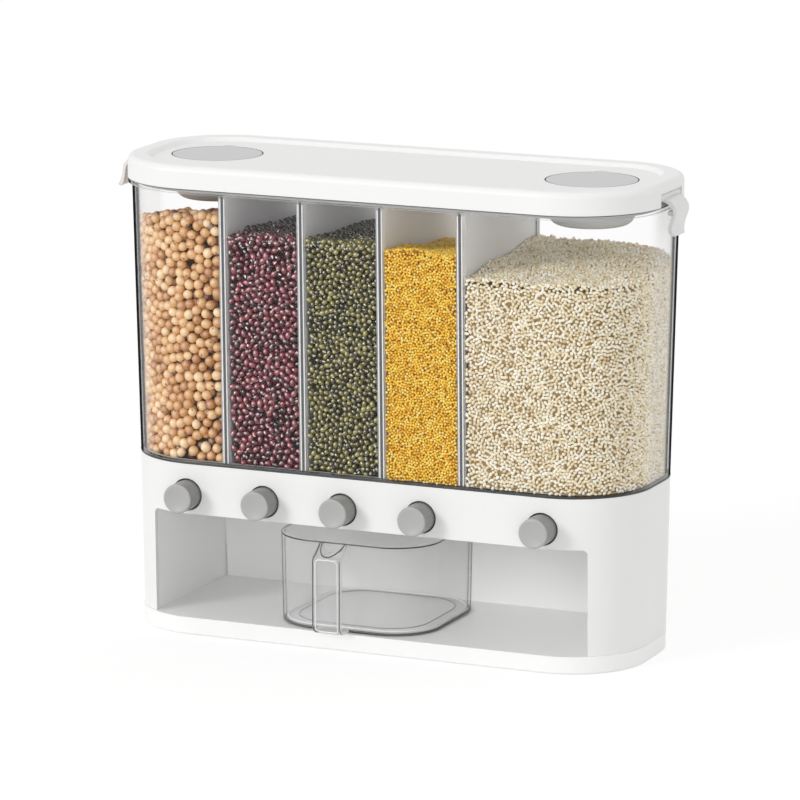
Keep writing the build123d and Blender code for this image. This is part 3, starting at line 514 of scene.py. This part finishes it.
def grain_skin(kind):
    """Skin of one sort of grain: a tint for each grain, mottling, the eye and the painted highlight."""
    material, nodes, shader = new_material(kind["name"])
    tint = nodes.add("Attribute", attribute_name="tint").outputs["Fac"]
    mottle = nodes.noise(MOTTLE_SCALE, MOTTLE_DETAIL)
    shifted = nodes.calc("MULTIPLY_ADD", mottle, MOTTLE_TINT, tint)
    mottled = nodes.calc("SUBTRACT", shifted, MOTTLE_TINT / 2, clamp=True)
    colour = nodes.ramp(mottled, even_stops([srgb(*stop) for stop in kind["stops"]]))
    if kind["eye"]:
        colour = with_eye(nodes, colour, *kind["eye"])
    # painted highlight on the side that faces the light
    if kind["painted_highlight"]:
        colour = with_painted_highlight(nodes, colour, *kind["painted_highlight"])
    nodes.link(colour, shader.inputs["Base Color"])
    low, high = (kind["rough"] + change for change in MOTTLE_ROUGHNESS)
    nodes.link(nodes.ranged(mottle, low, high), shader.inputs["Roughness"])
    shader.inputs["Specular IOR Level"].default_value = kind["gloss"]
    shader.inputs["Coat Weight"].default_value = kind["coat"]
    shader.inputs["Coat Roughness"].default_value = COAT_ROUGHNESS
    relief = nodes.relief(mottle, MOTTLE_STRENGTH, MOTTLE_HEIGHT)
    nodes.link(relief.outputs["Normal"], shader.inputs["Normal"])
    return material


def core_skin(name, colour):
    """Painted shade between the grains, darker in patches."""
    material, nodes, shader = new_material(name)
    patch = nodes.noise(CORE_PATCH_SCALE, CORE_PATCH_DETAIL)
    tone = nodes.ramp(patch, even_stops((dimmed(colour, CORE_DIM), colour)))
    nodes.link(tone, shader.inputs["Base Color"])
    shader.inputs["Roughness"].default_value = CORE_ROUGHNESS
    return material


def add_object(name, data):
    """New object in the scene."""
    thing = bpy.data.objects.new(name, data)
    bpy.context.scene.collection.objects.link(thing)
    return thing


def ball(segments):
    """Unit sphere on an octahedron: points, triangles and a flat map of each triangle corner."""
    points, index, triangles, flat = [], {}, [], []

    def corner(signs, i, j):
        """Number of the point at a step of one octant, and its place on the flat map."""
        k = segments - i - j
        place = Vector((signs[0] * i, signs[1] * j, signs[2] * k)).normalized()
        key = tuple(round(v, 5) + 0.0 for v in place)
        if key not in index:
            index[key] = len(points)
            points.append(tuple(place))
        u, v = i / segments, j / segments
        if signs[2] < 0:
            u, v = 1 - v, 1 - u
        return index[key], (0.5 + 0.5 * signs[0] * u, 0.5 + 0.5 * signs[1] * v)

    for signs in [(x, y, z) for x in (1, -1) for y in (1, -1) for z in (1, -1)]:
        outward = signs[0] * signs[1] * signs[2] > 0
        for i in range(segments):
            for j in range(segments - i):
                faces = [((i, j), (i + 1, j), (i, j + 1))]
                if i + j < segments - 1:
                    faces.append(((i + 1, j), (i + 1, j + 1), (i, j + 1)))
                for face in faces:
                    ordered = face if outward else face[::-1]
                    corners = [corner(signs, *c) for c in ordered]
                    triangles.append([c[0] for c in corners])
                    flat.append([c[1] for c in corners])
    return np.array(points), np.array(triangles), np.array(flat)


def random_turns(rng, count):
    """Rotation matrices spread evenly over all directions."""
    q = rng.normal(size=(count, 4))
    w, x, y, z = (q / np.linalg.norm(q, axis=1, keepdims=True)).T
    rows = [
        [1 - 2 * (y * y + z * z), 2 * (x * y - z * w), 2 * (x * z + y * w)],
        [2 * (x * y + z * w), 1 - 2 * (x * x + z * z), 2 * (y * z - x * w)],
        [2 * (x * z - y * w), 2 * (y * z + x * w), 1 - 2 * (x * x + y * y)],
    ]
    return np.array(rows).transpose(2, 0, 1)


def scatter(rng, width, height, pitch, rounds):
    """Points over a rectangle, about one pitch apart and in no visible order."""
    rows = max(1, round(height / (pitch * ROW_STEP)))
    columns = max(1, round(width / pitch))
    cells = np.stack(np.meshgrid(np.arange(columns), np.arange(rows)), -1)
    grid = cells.reshape(-1, 2).astype(float)
    grid[:, 0] += 0.5 * (grid[:, 1] % 2) + 0.25
    grid[:, 1] += 0.5
    points = grid * (width / columns, height / rows)
    points += rng.uniform(-SHAKE, SHAKE, points.shape) * pitch
    low, high = np.zeros(2), np.array((width, height))
    points = np.clip(points, low, high)
    for _ in range(rounds):
        tree = KDTree(len(points))
        for i, p in enumerate(points):
            tree.insert((p[0], p[1], 0.0), i)
        tree.balance()
        push = np.zeros_like(points)
        for i, p in enumerate(points):
            for q, j, gap in tree.find_range((p[0], p[1], 0.0), pitch):
                if j != i and gap > 0:
                    push[i] += (p - np.array(q[:2])) * (pitch - gap) / gap
        points = np.clip(points + PUSH * push, low, high)
    return points


def straight(left, right, side):
    """Length of the front (-1) or back (1) wall of an inner compartment, with places along it."""

    def at(s):
        """Place and outward direction at each distance along the wall."""
        x = left + s
        flat = np.zeros_like(x)
        return x, flat + side * HALF_DEPTH, flat, flat + side

    return right - left, at


def round_end(side, inner_x):
    """Length of one end wall, with places along it from a divider's front round to its back."""
    start = side * inner_x
    front_x, front_y = HALF_LENGTH - FRONT_R, FRONT_R - HALF_DEPTH
    rear_x, rear_y = HALF_LENGTH - REAR_R, HALF_DEPTH - REAR_R

    def run(x, y, nx, ny):
        """Straight stretch from a point, to the left of its outward direction."""
        return lambda t: (x - ny * t, y + nx * t, nx + 0 * t, ny + 0 * t)

    def bend(cx, cy, radius, first):
        """Round stretch about a centre, from an angle."""

        def at(t):
            angle = t / radius + first
            nx, ny = np.cos(angle), np.sin(angle)
            return cx + radius * nx, cy + radius * ny, nx, ny

        return at

    stretches = (
        (front_x - start, run(start, -HALF_DEPTH, 0, -1)),
        (FRONT_R * math.pi / 2, bend(front_x, front_y, FRONT_R, -math.pi / 2)),
        (2 * HALF_DEPTH - FRONT_R - REAR_R, run(HALF_LENGTH, front_y, 1, 0)),
        (REAR_R * math.pi / 2, bend(rear_x, rear_y, REAR_R, 0)),
        (rear_x - start, run(rear_x, HALF_DEPTH, 0, 1)),
    )
    lengths, places = zip(*stretches)
    ends = np.cumsum((0,) + lengths)

    def at(s):
        """Place and outward direction at each distance along the wall."""
        found = np.zeros((4, len(s)))
        for begin, end, place in zip(ends, ends[1:], places):
            here = (s >= begin) & (s <= end)
            found[:, here] = place(s[here] - begin)
        x, y, nx, ny = found
        return side * x, y, side * nx, ny

    return float(ends[-1]), at


def grow(z):
    """How far the bin's walls have leaned out at a height."""
    return BIN_DRAFT * (z - SEAM_Z) / (RIM_Z - SEAM_Z)


def level(index, x, y):
    """Height of the heap in one compartment."""
    front, back, fall, start = LEVELS[index]
    share = (y + HALF_DEPTH) / (2 * HALF_DEPTH)
    wave = WAVE_HEIGHT * np.sin(WAVE_TURN_X * x + index) * np.cos(WAVE_TURN_Y * y + 2 * index)
    return front + (back - front) * share - fall * np.maximum(0, np.abs(x) - start) + wave


class Heap:
    """Grains of one compartment, gathered before they become meshes."""

    def __init__(self, index):
        self.index = index
        self.kind = GRAINS[index]
        self.rng = np.random.default_rng(SEED + index)
        self.half = np.array(self.kind["axes"]) / 2
        self.size = float(np.mean(self.kind["axes"]))
        self.left = -HALF_LENGTH if index == 0 else DIVIDERS[index - 1] + GUIDE_HALF
        self.right = HALF_LENGTH if index == DIVIDER_COUNT else DIVIDERS[index] - GUIDE_HALF
        self.rounds = COARSE_ROUNDS if self.size > COARSE_GRAIN else FINE_ROUNDS
        self.centres, self.turns, self.halves, self.layers = [], [], [], []

    def settle(self, count):
        """Random turns and half axes of some grains."""
        turns = random_turns(self.rng, count)
        halves = self.half * self.rng.normal(1.0, SIZE_SPREAD, (count, 1)).clip(*SIZE_LIMITS)
        return turns, halves

    def keep(self, centres, turns, halves, layer):
        """Adds grains to the heap."""
        self.centres.append(centres)
        self.turns.append(turns)
        self.halves.append(halves)
        self.layers.append(np.full(len(centres), layer))

    def wall(self, length, at, layer):
        """One layer of grains against a wall, or behind the layer that is there."""
        tall = max(LEVELS[self.index][:2]) - BIN_FLOOR_Z
        pitch = GRAIN_PITCH * self.size
        points = scatter(self.rng, length - self.size, tall - self.size, pitch, self.rounds)
        x, y, nx, ny = at(points[:, 0] + self.size / 2)
        z = BIN_FLOOR_Z - FLOOR_OVERLAP + self.size / 2 + points[:, 1]
        turns, halves = self.settle(len(z))
        normal = np.stack((nx, ny, np.zeros_like(nx)), 1)
        reach = np.linalg.norm(np.einsum("kji,kj->ki", turns, normal) * halves, axis=1)
        inset = BIN_WALL + WALL_GAP - grow(z) + reach + LAYER_STEP * layer * self.size
        inset += self.rng.uniform(0, WALL_SCATTER * self.size, len(z))
        x, y = x - nx * inset, y - ny * inset
        below = z < level(self.index, x, y) - WALL_TOP_GAP * self.size
        self.keep(np.stack((x, y, z), 1)[below], turns[below], halves[below], layer)

    def top(self, layer):
        """One layer of grains over the top of the heap, or under the layer that is there."""
        z_top = max(LEVELS[self.index][:2])
        inset = BIN_WALL + WALL_GAP - grow(z_top) + TOP_INSET * self.size
        depth_y = 2 * (HALF_DEPTH - inset)
        pitch = GRAIN_PITCH * self.size
        points = scatter(self.rng, self.right - self.left, depth_y, pitch, self.rounds)
        x, y = self.left + points[:, 0], points[:, 1] - depth_y / 2
        inside = np.abs(x) < HALF_LENGTH - inset
        for radius, front in ((FRONT_R, True), (REAR_R, False)):
            cx = HALF_LENGTH - radius
            cy = radius - HALF_DEPTH if front else HALF_DEPTH - radius
            past = (np.abs(x) > cx) & ((y < cy) if front else (y > cy))
            inside &= ~past | (np.hypot(np.abs(x) - cx, y - cy) < radius - inset)
        if self.index > 0:
            inside &= x > self.left + self.size / 2 - GUIDE_HALF
        if self.index < DIVIDER_COUNT:
            inside &= x < self.right - self.size / 2 + GUIDE_HALF
        x, y = x[inside], y[inside]
        turns, halves = self.settle(len(x))
        z = level(self.index, x, y) - (0.5 + LAYER_STEP * layer) * self.size
        z += self.rng.uniform(-TOP_SCATTER, TOP_SCATTER, len(z)) * self.size
        self.keep(np.stack((x, y, z), 1), turns, halves, layer)

    def lay(self):
        """All layers of the heap, at its walls and over its top."""
        if self.index == 0:
            walls = [round_end(-1, self.right)]
        elif self.index == DIVIDER_COUNT:
            walls = [round_end(1, self.left)]
        else:
            walls = [straight(self.left, self.right, side) for side in (-1, 1)]
        for layer in range(self.kind["layers"]):
            for length, at in walls:
                self.wall(length, at, layer)
            self.top(layer)

    def tints(self, centres, layers):
        """Tint of each grain, with painted shade behind the outer layer and in a shaded top."""
        spread = self.rng.beta(TINT_SHAPE, TINT_SHAPE, len(centres))
        tints = TINT_LOW + (1 - TINT_LOW) * spread - DEPTH_SHADE_TINT * layers
        if self.index in SHADED_TOPS:
            x, y, z = centres.T
            top = z > level(self.index, x, y) - SHADED_DEPTH * self.size
            tints[top & (y > SHADED_FROM_Y)] += SHADE_TINT
        return tints


def heap_mesh(name, shape, chosen, material):
    """One piece of many grains, each with its own tint and its own square of the flat map."""
    points, triangles, flat = shape
    centres, turns, halves, tints = chosen
    count, corners = len(centres), len(points)
    placed = np.einsum("kij,kpj->kpi", turns, points[None] * halves[:, None]) + centres[:, None]
    mesh = bpy.data.meshes.new(name)
    mesh.vertices.add(count * corners)
    mesh.vertices.foreach_set("co", (placed * MM).astype(np.float32).ravel())
    index = (triangles[None] + corners * np.arange(count)[:, None, None]).astype(np.int32)
    mesh.loops.add(index.size)
    mesh.loops.foreach_set("vertex_index", index.ravel())
    mesh.polygons.add(count * len(triangles))
    mesh.polygons.foreach_set("loop_start", np.arange(0, index.size, 3, dtype=np.int32))
    mesh.update(calc_edges=True)
    mesh.polygons.foreach_set("use_smooth", np.ones(count * len(triangles), bool))
    tint = mesh.attributes.new("tint", "FLOAT", "POINT")
    tint.data.foreach_set("value", np.repeat(tints, corners).astype(np.float32))
    local = mesh.attributes.new("local", "FLOAT_VECTOR", "POINT")
    local.data.foreach_set("vector", np.tile(points, (count, 1)).astype(np.float32).ravel())
    side = math.ceil(math.sqrt(count))
    cells = np.stack((np.arange(count) % side, np.arange(count) // side), 1)
    spread = (cells[:, None, None] + UV_MARGIN + (1 - 2 * UV_MARGIN) * flat[None]) / side
    mesh.uv_layers.new(name="OFBake").data.foreach_set("uv", spread.astype(np.float32).ravel())
    mesh.materials.append(material)
    return add_object(name, mesh)


def shaded_core(heap, node):
    """Painted shade behind the grains: a dark copy of the solid of the fill, drawn in from its walls and
    its top.
    """
    kind = heap.kind
    low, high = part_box(node)
    core = add_object(f"{kind['name']}_core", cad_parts[node].data.copy())
    inset = CORE_DEPTH[kind["layers"]] * heap.size * MM
    fall, start = LEVELS[heap.index][2:]
    drop = inset + (fall * (HALF_LENGTH - start) + WAVE_HEIGHT) * MM
    middle, size = (low + high) / 2, high - low
    for vertex in core.data.vertices:
        vertex.co.x = middle.x + (vertex.co.x - middle.x) * (1 - 2 * inset / size.x)
        vertex.co.y = middle.y + (vertex.co.y - middle.y) * (1 - 2 * inset / size.y)
        vertex.co.z = low.z + (vertex.co.z - low.z) * (1 - drop / size.z)
    core.data.materials.clear()
    core.data.materials.append(core_skin(f"{kind['name']}_depth", srgb(*kind["core"])))
    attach(core, "body")
    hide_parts(node)


def fill(index):
    """Grains and core of painted shade of one compartment, in the place of its solid."""
    heap = Heap(index)
    kind = heap.kind
    heap.lay()
    gathered = heap.centres, heap.turns, heap.halves, heap.layers
    centres, turns, halves, layers = (np.concatenate(v) for v in gathered)
    tints = heap.tints(centres, layers)
    skin = grain_skin(kind)
    shape = ball(kind["segments"])
    order = np.argsort(centres[:, 1], kind="stable")
    shares = np.array_split(order, math.ceil(len(shape[1]) * len(order) / PIECE_TRIANGLES))
    node = f"grain_{index + 1}"
    for number, share in enumerate(shares, 1):
        chosen = centres[share], turns[share], halves[share], tints[share]
        piece = heap_mesh(f"{kind['name']}_{number}", shape, chosen, skin)
        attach(piece, "body")
    shaded_core(heap, node)


def arc(cx, cy, radius, start):
    """Quarter circle of points, from an angle in degrees."""
    angles = np.radians(start + np.linspace(0, 90, ARC_STEPS + 1))
    return np.stack((cx + radius * np.cos(angles), cy + radius * np.sin(angles)), 1)


def plan_path(let_out, z):
    """Closed path round the bin's outline, let out by let_out, at one height."""
    front, rear = FRONT_R - HALF_DEPTH, HALF_DEPTH - REAR_R
    front_x, rear_x = HALF_LENGTH - FRONT_R, HALF_LENGTH - REAR_R
    quarters = (
        arc(rear_x, rear, REAR_R + let_out, 0),
        arc(-rear_x, rear, REAR_R + let_out, 90),
        arc(-front_x, front, FRONT_R + let_out, 180),
        arc(front_x, front, FRONT_R + let_out, 270),
    )
    flat = np.concatenate(quarters)
    return np.column_stack((flat, np.full(len(flat), z)))


def rounded(centre, halves, radius):
    """Closed rounded rectangle of points about a centre."""
    x, y = halves[0] - radius, halves[1] - radius
    corners = ((x, y, 0), (-x, y, 90), (-x, -y, 180), (x, -y, 270))
    return np.concatenate([arc(centre[0] + dx, centre[1] + dy, radius, start) for dx, dy, start in corners])


def square_path(centre, half, radius, z):
    """Closed path round a rounded square at one height."""
    flat = rounded(centre, (half, half), radius)
    return np.column_stack((flat, np.full(len(flat), z)))


def line(name, path, radius, up, look, body, closed=True):
    """Fine round bar along a path."""
    ahead = np.roll(path, -1, 0) if closed else np.vstack((path[1:], path[-1:]))
    behind = np.roll(path, 1, 0) if closed else np.vstack((path[:1], path[:-1]))
    along = (ahead - behind) / np.linalg.norm(ahead - behind, axis=1, keepdims=True)
    up = np.broadcast_to(np.array(up, float), path.shape)
    across = np.cross(along, up)
    across /= np.linalg.norm(across, axis=1, keepdims=True)
    angles = 2 * np.pi * np.arange(LINE_SIDES)[None, :, None] / LINE_SIDES
    spokes = np.cos(angles) * across[:, None] + np.sin(angles) * up[:, None]
    points = (path[:, None] + radius * spokes).reshape(-1, 3) * MM
    faces = []
    for i in range(len(path) if closed else len(path) - 1):
        here, there = i * LINE_SIDES, (i + 1) % len(path) * LINE_SIDES
        for k in range(LINE_SIDES):
            m = (k + 1) % LINE_SIDES
            faces.append((here + k, there + k, there + m, here + m))
    mesh = bpy.data.meshes.new(name)
    mesh.from_pydata(points.tolist(), [], faces)
    mesh.polygons.foreach_set("use_smooth", np.ones(len(faces), bool))
    mesh.materials.append(looks[look])
    piece = add_object(name, mesh)
    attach(piece, body)


def bin_lines():
    """Painted shadow lines at the bin's seam and under the lid, and painted highlight and shade lines at
    the dividers.
    """
    seam = plan_path(-SEAM_LINE_R / 2, SEAM_Z + SEAM_LINE_R)
    line("bin_seam_line", seam, SEAM_LINE_R, UPRIGHT, "painted_dark_line", "body")
    under_lid = plan_path(LID_GROW - LID_LINE_INSET, RIM_Z - LID_LINE_R)
    line("lid_gap_line", under_lid, LID_LINE_R, UPRIGHT, "painted_dark_line", "body")
    heights = np.array((BIN_FLOOR_Z, DIVIDER_LINE_TOP))
    for number, x in enumerate(DIVIDERS, 1):
        for name, (offset, radius, side, look) in DIVIDER_LINES.items():
            wall = side * (HALF_DEPTH + grow(heights) - BIN_WALL - radius)
            path = np.column_stack((np.full(2, x + offset), wall, heights))
            line(f"divider_{number}_line_{name}", path, radius, FORWARD, look, "body", closed=False)


def cup_lines(cup):
    """Painted dark edges at the rim and the foot of the measuring cup, a painted highlight ring and a soft
    painted shade ring on its foot, and painted lines on its handle.
    """
    low, high = (np.array(v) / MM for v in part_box(cup))
    half = (high[0] - low[0]) / 2
    centre = ((high[0] + low[0]) / 2, high[1] - half)
    rim = square_path(centre, half - CUP_LINE_R, CUP_CORNER_R, high[2] - CUP_LINE_R)
    line("cup_rim_line", rim, CUP_LINE_R, UPRIGHT, "painted_dark_line", cup)
    foot_half = half - CUP_FOOT_LINE_R - CUP_FOOT_LINE_INSET
    foot = square_path(centre, foot_half, CUP_CORNER_R, low[2] + CUP_FOOT_LINE_R)
    line("cup_foot_line", foot, CUP_FOOT_LINE_R, UPRIGHT, "painted_dark_line", cup)
    halo_half, halo_r = foot_half - CUP_HALO_INSET, CUP_CORNER_R - CUP_HALO_INSET
    halo = square_path(centre, halo_half, halo_r, low[2] + CUP_HALO_RISE)
    line("cup_foot_halo", halo, CUP_LINE_R, UPRIGHT, "painted_bright_line", cup)
    ring_half, ring_r = half - CUP_RING_INSET, CUP_CORNER_R - CUP_RING_INSET / 2
    ring = square_path(centre, ring_half, ring_r, low[2] + CUP_RING_RISE)
    line("cup_ring_line", ring, CUP_RING_LINE_R, UPRIGHT, "painted_soft_line", cup)
    handle_lines(cup, low, high, centre[0] + HANDLE_X, centre[1] - half)


def handle_lines(cup, low, high, handle_x, wall_y):
    """Painted dark edges along the sides and the scoop, and a painted glint on the front of the cup's strap
    handle.
    """
    inner = HANDLE_LINE_R
    strap_top = high[2] - HANDLE_FALL
    foot_y, foot_z = low[1] + HANDLE_FOOT_R, low[2] + HANDLE_FOOT_R
    foot_arc = arc(foot_y, foot_z, HANDLE_FOOT_R - inner, 180)[::-1]
    top_y, top_z = low[1] + HANDLE_TOP_R, strap_top - HANDLE_TOP_R
    top_arc = arc(top_y, top_z, HANDLE_TOP_R - inner, 90)[::-1]
    profile = np.concatenate((foot_arc, top_arc, ((wall_y, high[2] - inner),)))
    for side, name in ((-1, "left"), (1, "right")):
        x = handle_x + side * (HANDLE_W / 2 - inner)
        path = np.column_stack((np.full(len(profile), x), profile))
        line(f"cup_handle_line_{name}", path, inner, SIDEWAYS, "painted_dark_line", cup, closed=False)

    scoop_z = strap_top + HANDLE_SCOOP_R
    swing = math.acos((scoop_z - high[2] + inner) / HANDLE_SCOOP_R)
    turn = np.linspace(-swing, swing, ARC_STEPS + 1)
    scoop_x = handle_x + HANDLE_SCOOP_R * np.sin(turn)
    scoop_height = scoop_z - HANDLE_SCOOP_R * np.cos(turn)
    slope = (wall_y - low[1]) * (scoop_height - strap_top) / HANDLE_FALL
    scoop = np.column_stack((scoop_x, low[1] + inner + slope, scoop_height))
    line("cup_handle_scoop_line", scoop, inner, FORWARD, "painted_dark_line", cup, closed=False)

    glint_low, glint_high = low[2] + GLINT_INSET, strap_top - GLINT_INSET
    glint_halves = HANDLE_W / 2 - GLINT_INSET, (glint_high - glint_low) / 2
    flat = rounded((handle_x, (glint_low + glint_high) / 2), glint_halves, GLINT_CORNER_R)
    depth = low[1] + GLINT_R + np.maximum(0, (glint_low + HANDLE_FOOT_R / 2 - flat[:, 1]) / 2)
    glint = np.column_stack((flat[:, 0], depth, flat[:, 1]))
    line("cup_handle_glint", glint, GLINT_R, FORWARD, "painted_bright_line", cup)


def coil_springs():
    """Gives each return spring a mesh of its own."""
    for number in range(1, len(GRAINS) + 1):
        node, joint = f"return_spring_{number}", f"button_{number}_press"
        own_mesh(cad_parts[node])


def paint(prefix, material):
    """Gives a material to every CAD node whose name starts with prefix."""
    for name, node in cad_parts.items():
        if name.startswith(prefix):
            node.data.materials.clear()
            node.data.materials.append(material)


def paint_faces(prefix, material, chosen):
    """Gives a material to the faces that a test of centre and normal picks on the nodes of a prefix."""
    for name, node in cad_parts.items():
        if name.startswith(prefix):
            node.data.materials.append(material)
            last = len(node.data.materials) - 1
            for face in node.data.polygons:
                if chosen(face.center / MM, face.normal):
                    face.material_index = last


def dress_nodes():
    """Materials of the CAD nodes, and of the faces on them that differ."""
    for prefix, look in NODE_LOOKS:
        paint(prefix, looks[look])

    handle_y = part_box("measuring_cup")[0].y / MM + HANDLE_REACH
    caps = [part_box(f"desiccant_cap_{side}") for side in ("left", "right")]
    cap_x = [(low.x + high.x) / 2 / MM for low, high in caps]
    cap_r = (caps[0][1].x - caps[0][0].x) / 2 / MM

    def beside_divider(centre, normal):
        near = min(abs(centre.x - x) for x in DIVIDERS) < GUIDE_HALF + FACE_NEAR
        return abs(normal.x) > FLAT and near and centre.z > BIN_FLOOR_Z + FACE_NEAR

    def round_cap(centre, normal):
        near = min(math.hypot(centre.x - x, centre.y - CAP_Y) for x in cap_x)
        return abs(normal.z) < 1 - FLAT and near < cap_r + CAP_GAP

    def lies_level(centre, normal):
        return abs(normal.z) > FLAT

    def on_handle_side(centre, normal):
        return abs(normal.x) > FLAT and centre.y < handle_y

    # Painted shade goes on the gaps round the caps, the sides of caps and buttons and the front edges of
    # dividers; painted highlights go on the ribs and the handle's sides
    for prefix, look, chosen in (
        ("bin", "wall_plastic", lambda centre, normal: abs(normal.x) < BIN_END),
        ("bin", "painted_bright_plastic", beside_divider),
        ("bin", "level_plastic", lies_level),
        ("measuring_cup", "level_plastic", lies_level),
        ("lid", "painted_gap_shade", round_cap),
        ("desiccant_cap", "painted_shade_side_plastic", round_cap),
        ("divider_", "painted_divider_shade", lambda centre, normal: normal.y < -FLAT),
        ("button_", "painted_shade_side_plastic", lambda centre, normal: abs(normal.y) < 1 - FLAT),
        ("measuring_cup", "painted_bright_plastic", on_handle_side),
    ):
        paint_faces(prefix, looks[look], chosen)


def seen(nodes):
    """1 for what the camera sees, straight or by reflection or through clear bodies, else 0."""
    path = nodes.add("LightPath").outputs
    straight_or_glossy = nodes.calc("MAXIMUM", path["Is Camera Ray"], path["Is Glossy Ray"])
    return nodes.calc("MAXIMUM", straight_or_glossy, path["Is Transmission Ray"])


def studio_floor():
    """Pale floor that glows where it is seen and keeps the shadow."""
    mesh = bpy.data.meshes.new("floor")
    reach = FLOOR_REACH * MM
    corners = [(-reach, -reach, 0), (reach, -reach, 0), (reach, reach, 0), (-reach, reach, 0)]
    mesh.from_pydata(corners, [], [(0, 1, 2, 3)])
    floor = add_object("floor", mesh)
    floor.location.z = -FLOOR_DROP * MM
    material, nodes, shader = new_material("floor")
    shader.inputs["Base Color"].default_value = grey(FLOOR_GREY)
    shader.inputs["Roughness"].default_value = FLOOR_ROUGHNESS
    shader.inputs["Specular IOR Level"].default_value = FLOOR_GLOSS
    glow = nodes.add("Emission", Strength=FLOOR_GLOW)
    blend = nodes.add("MixShader")
    nodes.link(nodes.calc("MULTIPLY", seen(nodes), FLOOR_GLOW_SHARE), blend.inputs["Fac"])
    nodes.link(shader.outputs["BSDF"], blend.inputs[1])
    nodes.link(glow.outputs["Emission"], blend.inputs[2])
    output = material.node_tree.nodes["Material Output"]
    nodes.link(blend.outputs["Shader"], output.inputs["Surface"])
    mesh.materials.append(material)


def studio_light():
    """White surroundings, brighter where they are seen than as light, and the lamps."""
    world = bpy.data.worlds.new("studio")
    bpy.context.scene.world = world
    world.use_nodes = True
    nodes = Nodes(world.node_tree)
    background = world.node_tree.nodes["Background"]
    background.inputs["Color"].default_value = grey(1.0)
    strength = nodes.ranged(seen(nodes), WORLD_LIGHT, WORLD_SEEN)
    nodes.link(strength, background.inputs["Strength"])
    for name, (direction, power, angle) in LAMPS.items():
        lamp = bpy.data.lights.new(name, "SUN")
        lamp.energy = power
        lamp.angle = math.radians(angle)
        holder = add_object(name, lamp)
        holder.rotation_euler = Vector(direction).to_track_quat("Z", "Y").to_euler()


def studio_camera():
    """Camera at the photograph's angle."""
    azimuth, elevation = math.radians(CAMERA_AZIMUTH), math.radians(CAMERA_ELEVATION)
    out = math.cos(elevation)
    back = Vector((math.sin(azimuth) * out, -math.cos(azimuth) * out, math.sin(elevation)))
    camera = add_object("camera", bpy.data.cameras.new("camera"))
    camera.data.lens = CAMERA_LENS
    camera.location = (Vector(CAMERA_TARGET) + CAMERA_DISTANCE * back) * MM
    camera.rotation_euler = back.to_track_quat("Z", "Y").to_euler()
    bpy.context.scene.camera = camera
    bpy.context.scene.view_settings.view_transform = "Standard"


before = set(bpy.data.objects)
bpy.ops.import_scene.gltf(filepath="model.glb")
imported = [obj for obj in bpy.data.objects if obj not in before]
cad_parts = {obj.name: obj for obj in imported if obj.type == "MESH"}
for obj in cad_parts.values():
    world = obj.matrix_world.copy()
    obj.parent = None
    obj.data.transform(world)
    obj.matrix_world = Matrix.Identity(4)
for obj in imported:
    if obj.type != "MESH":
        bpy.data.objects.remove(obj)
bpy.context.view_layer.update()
looks = make_looks()
dress_nodes()
for compartment in range(len(GRAINS)):
    fill(compartment)
bin_lines()
cup_lines("measuring_cup")
coil_springs()
studio_floor()
studio_light()
studio_camera()
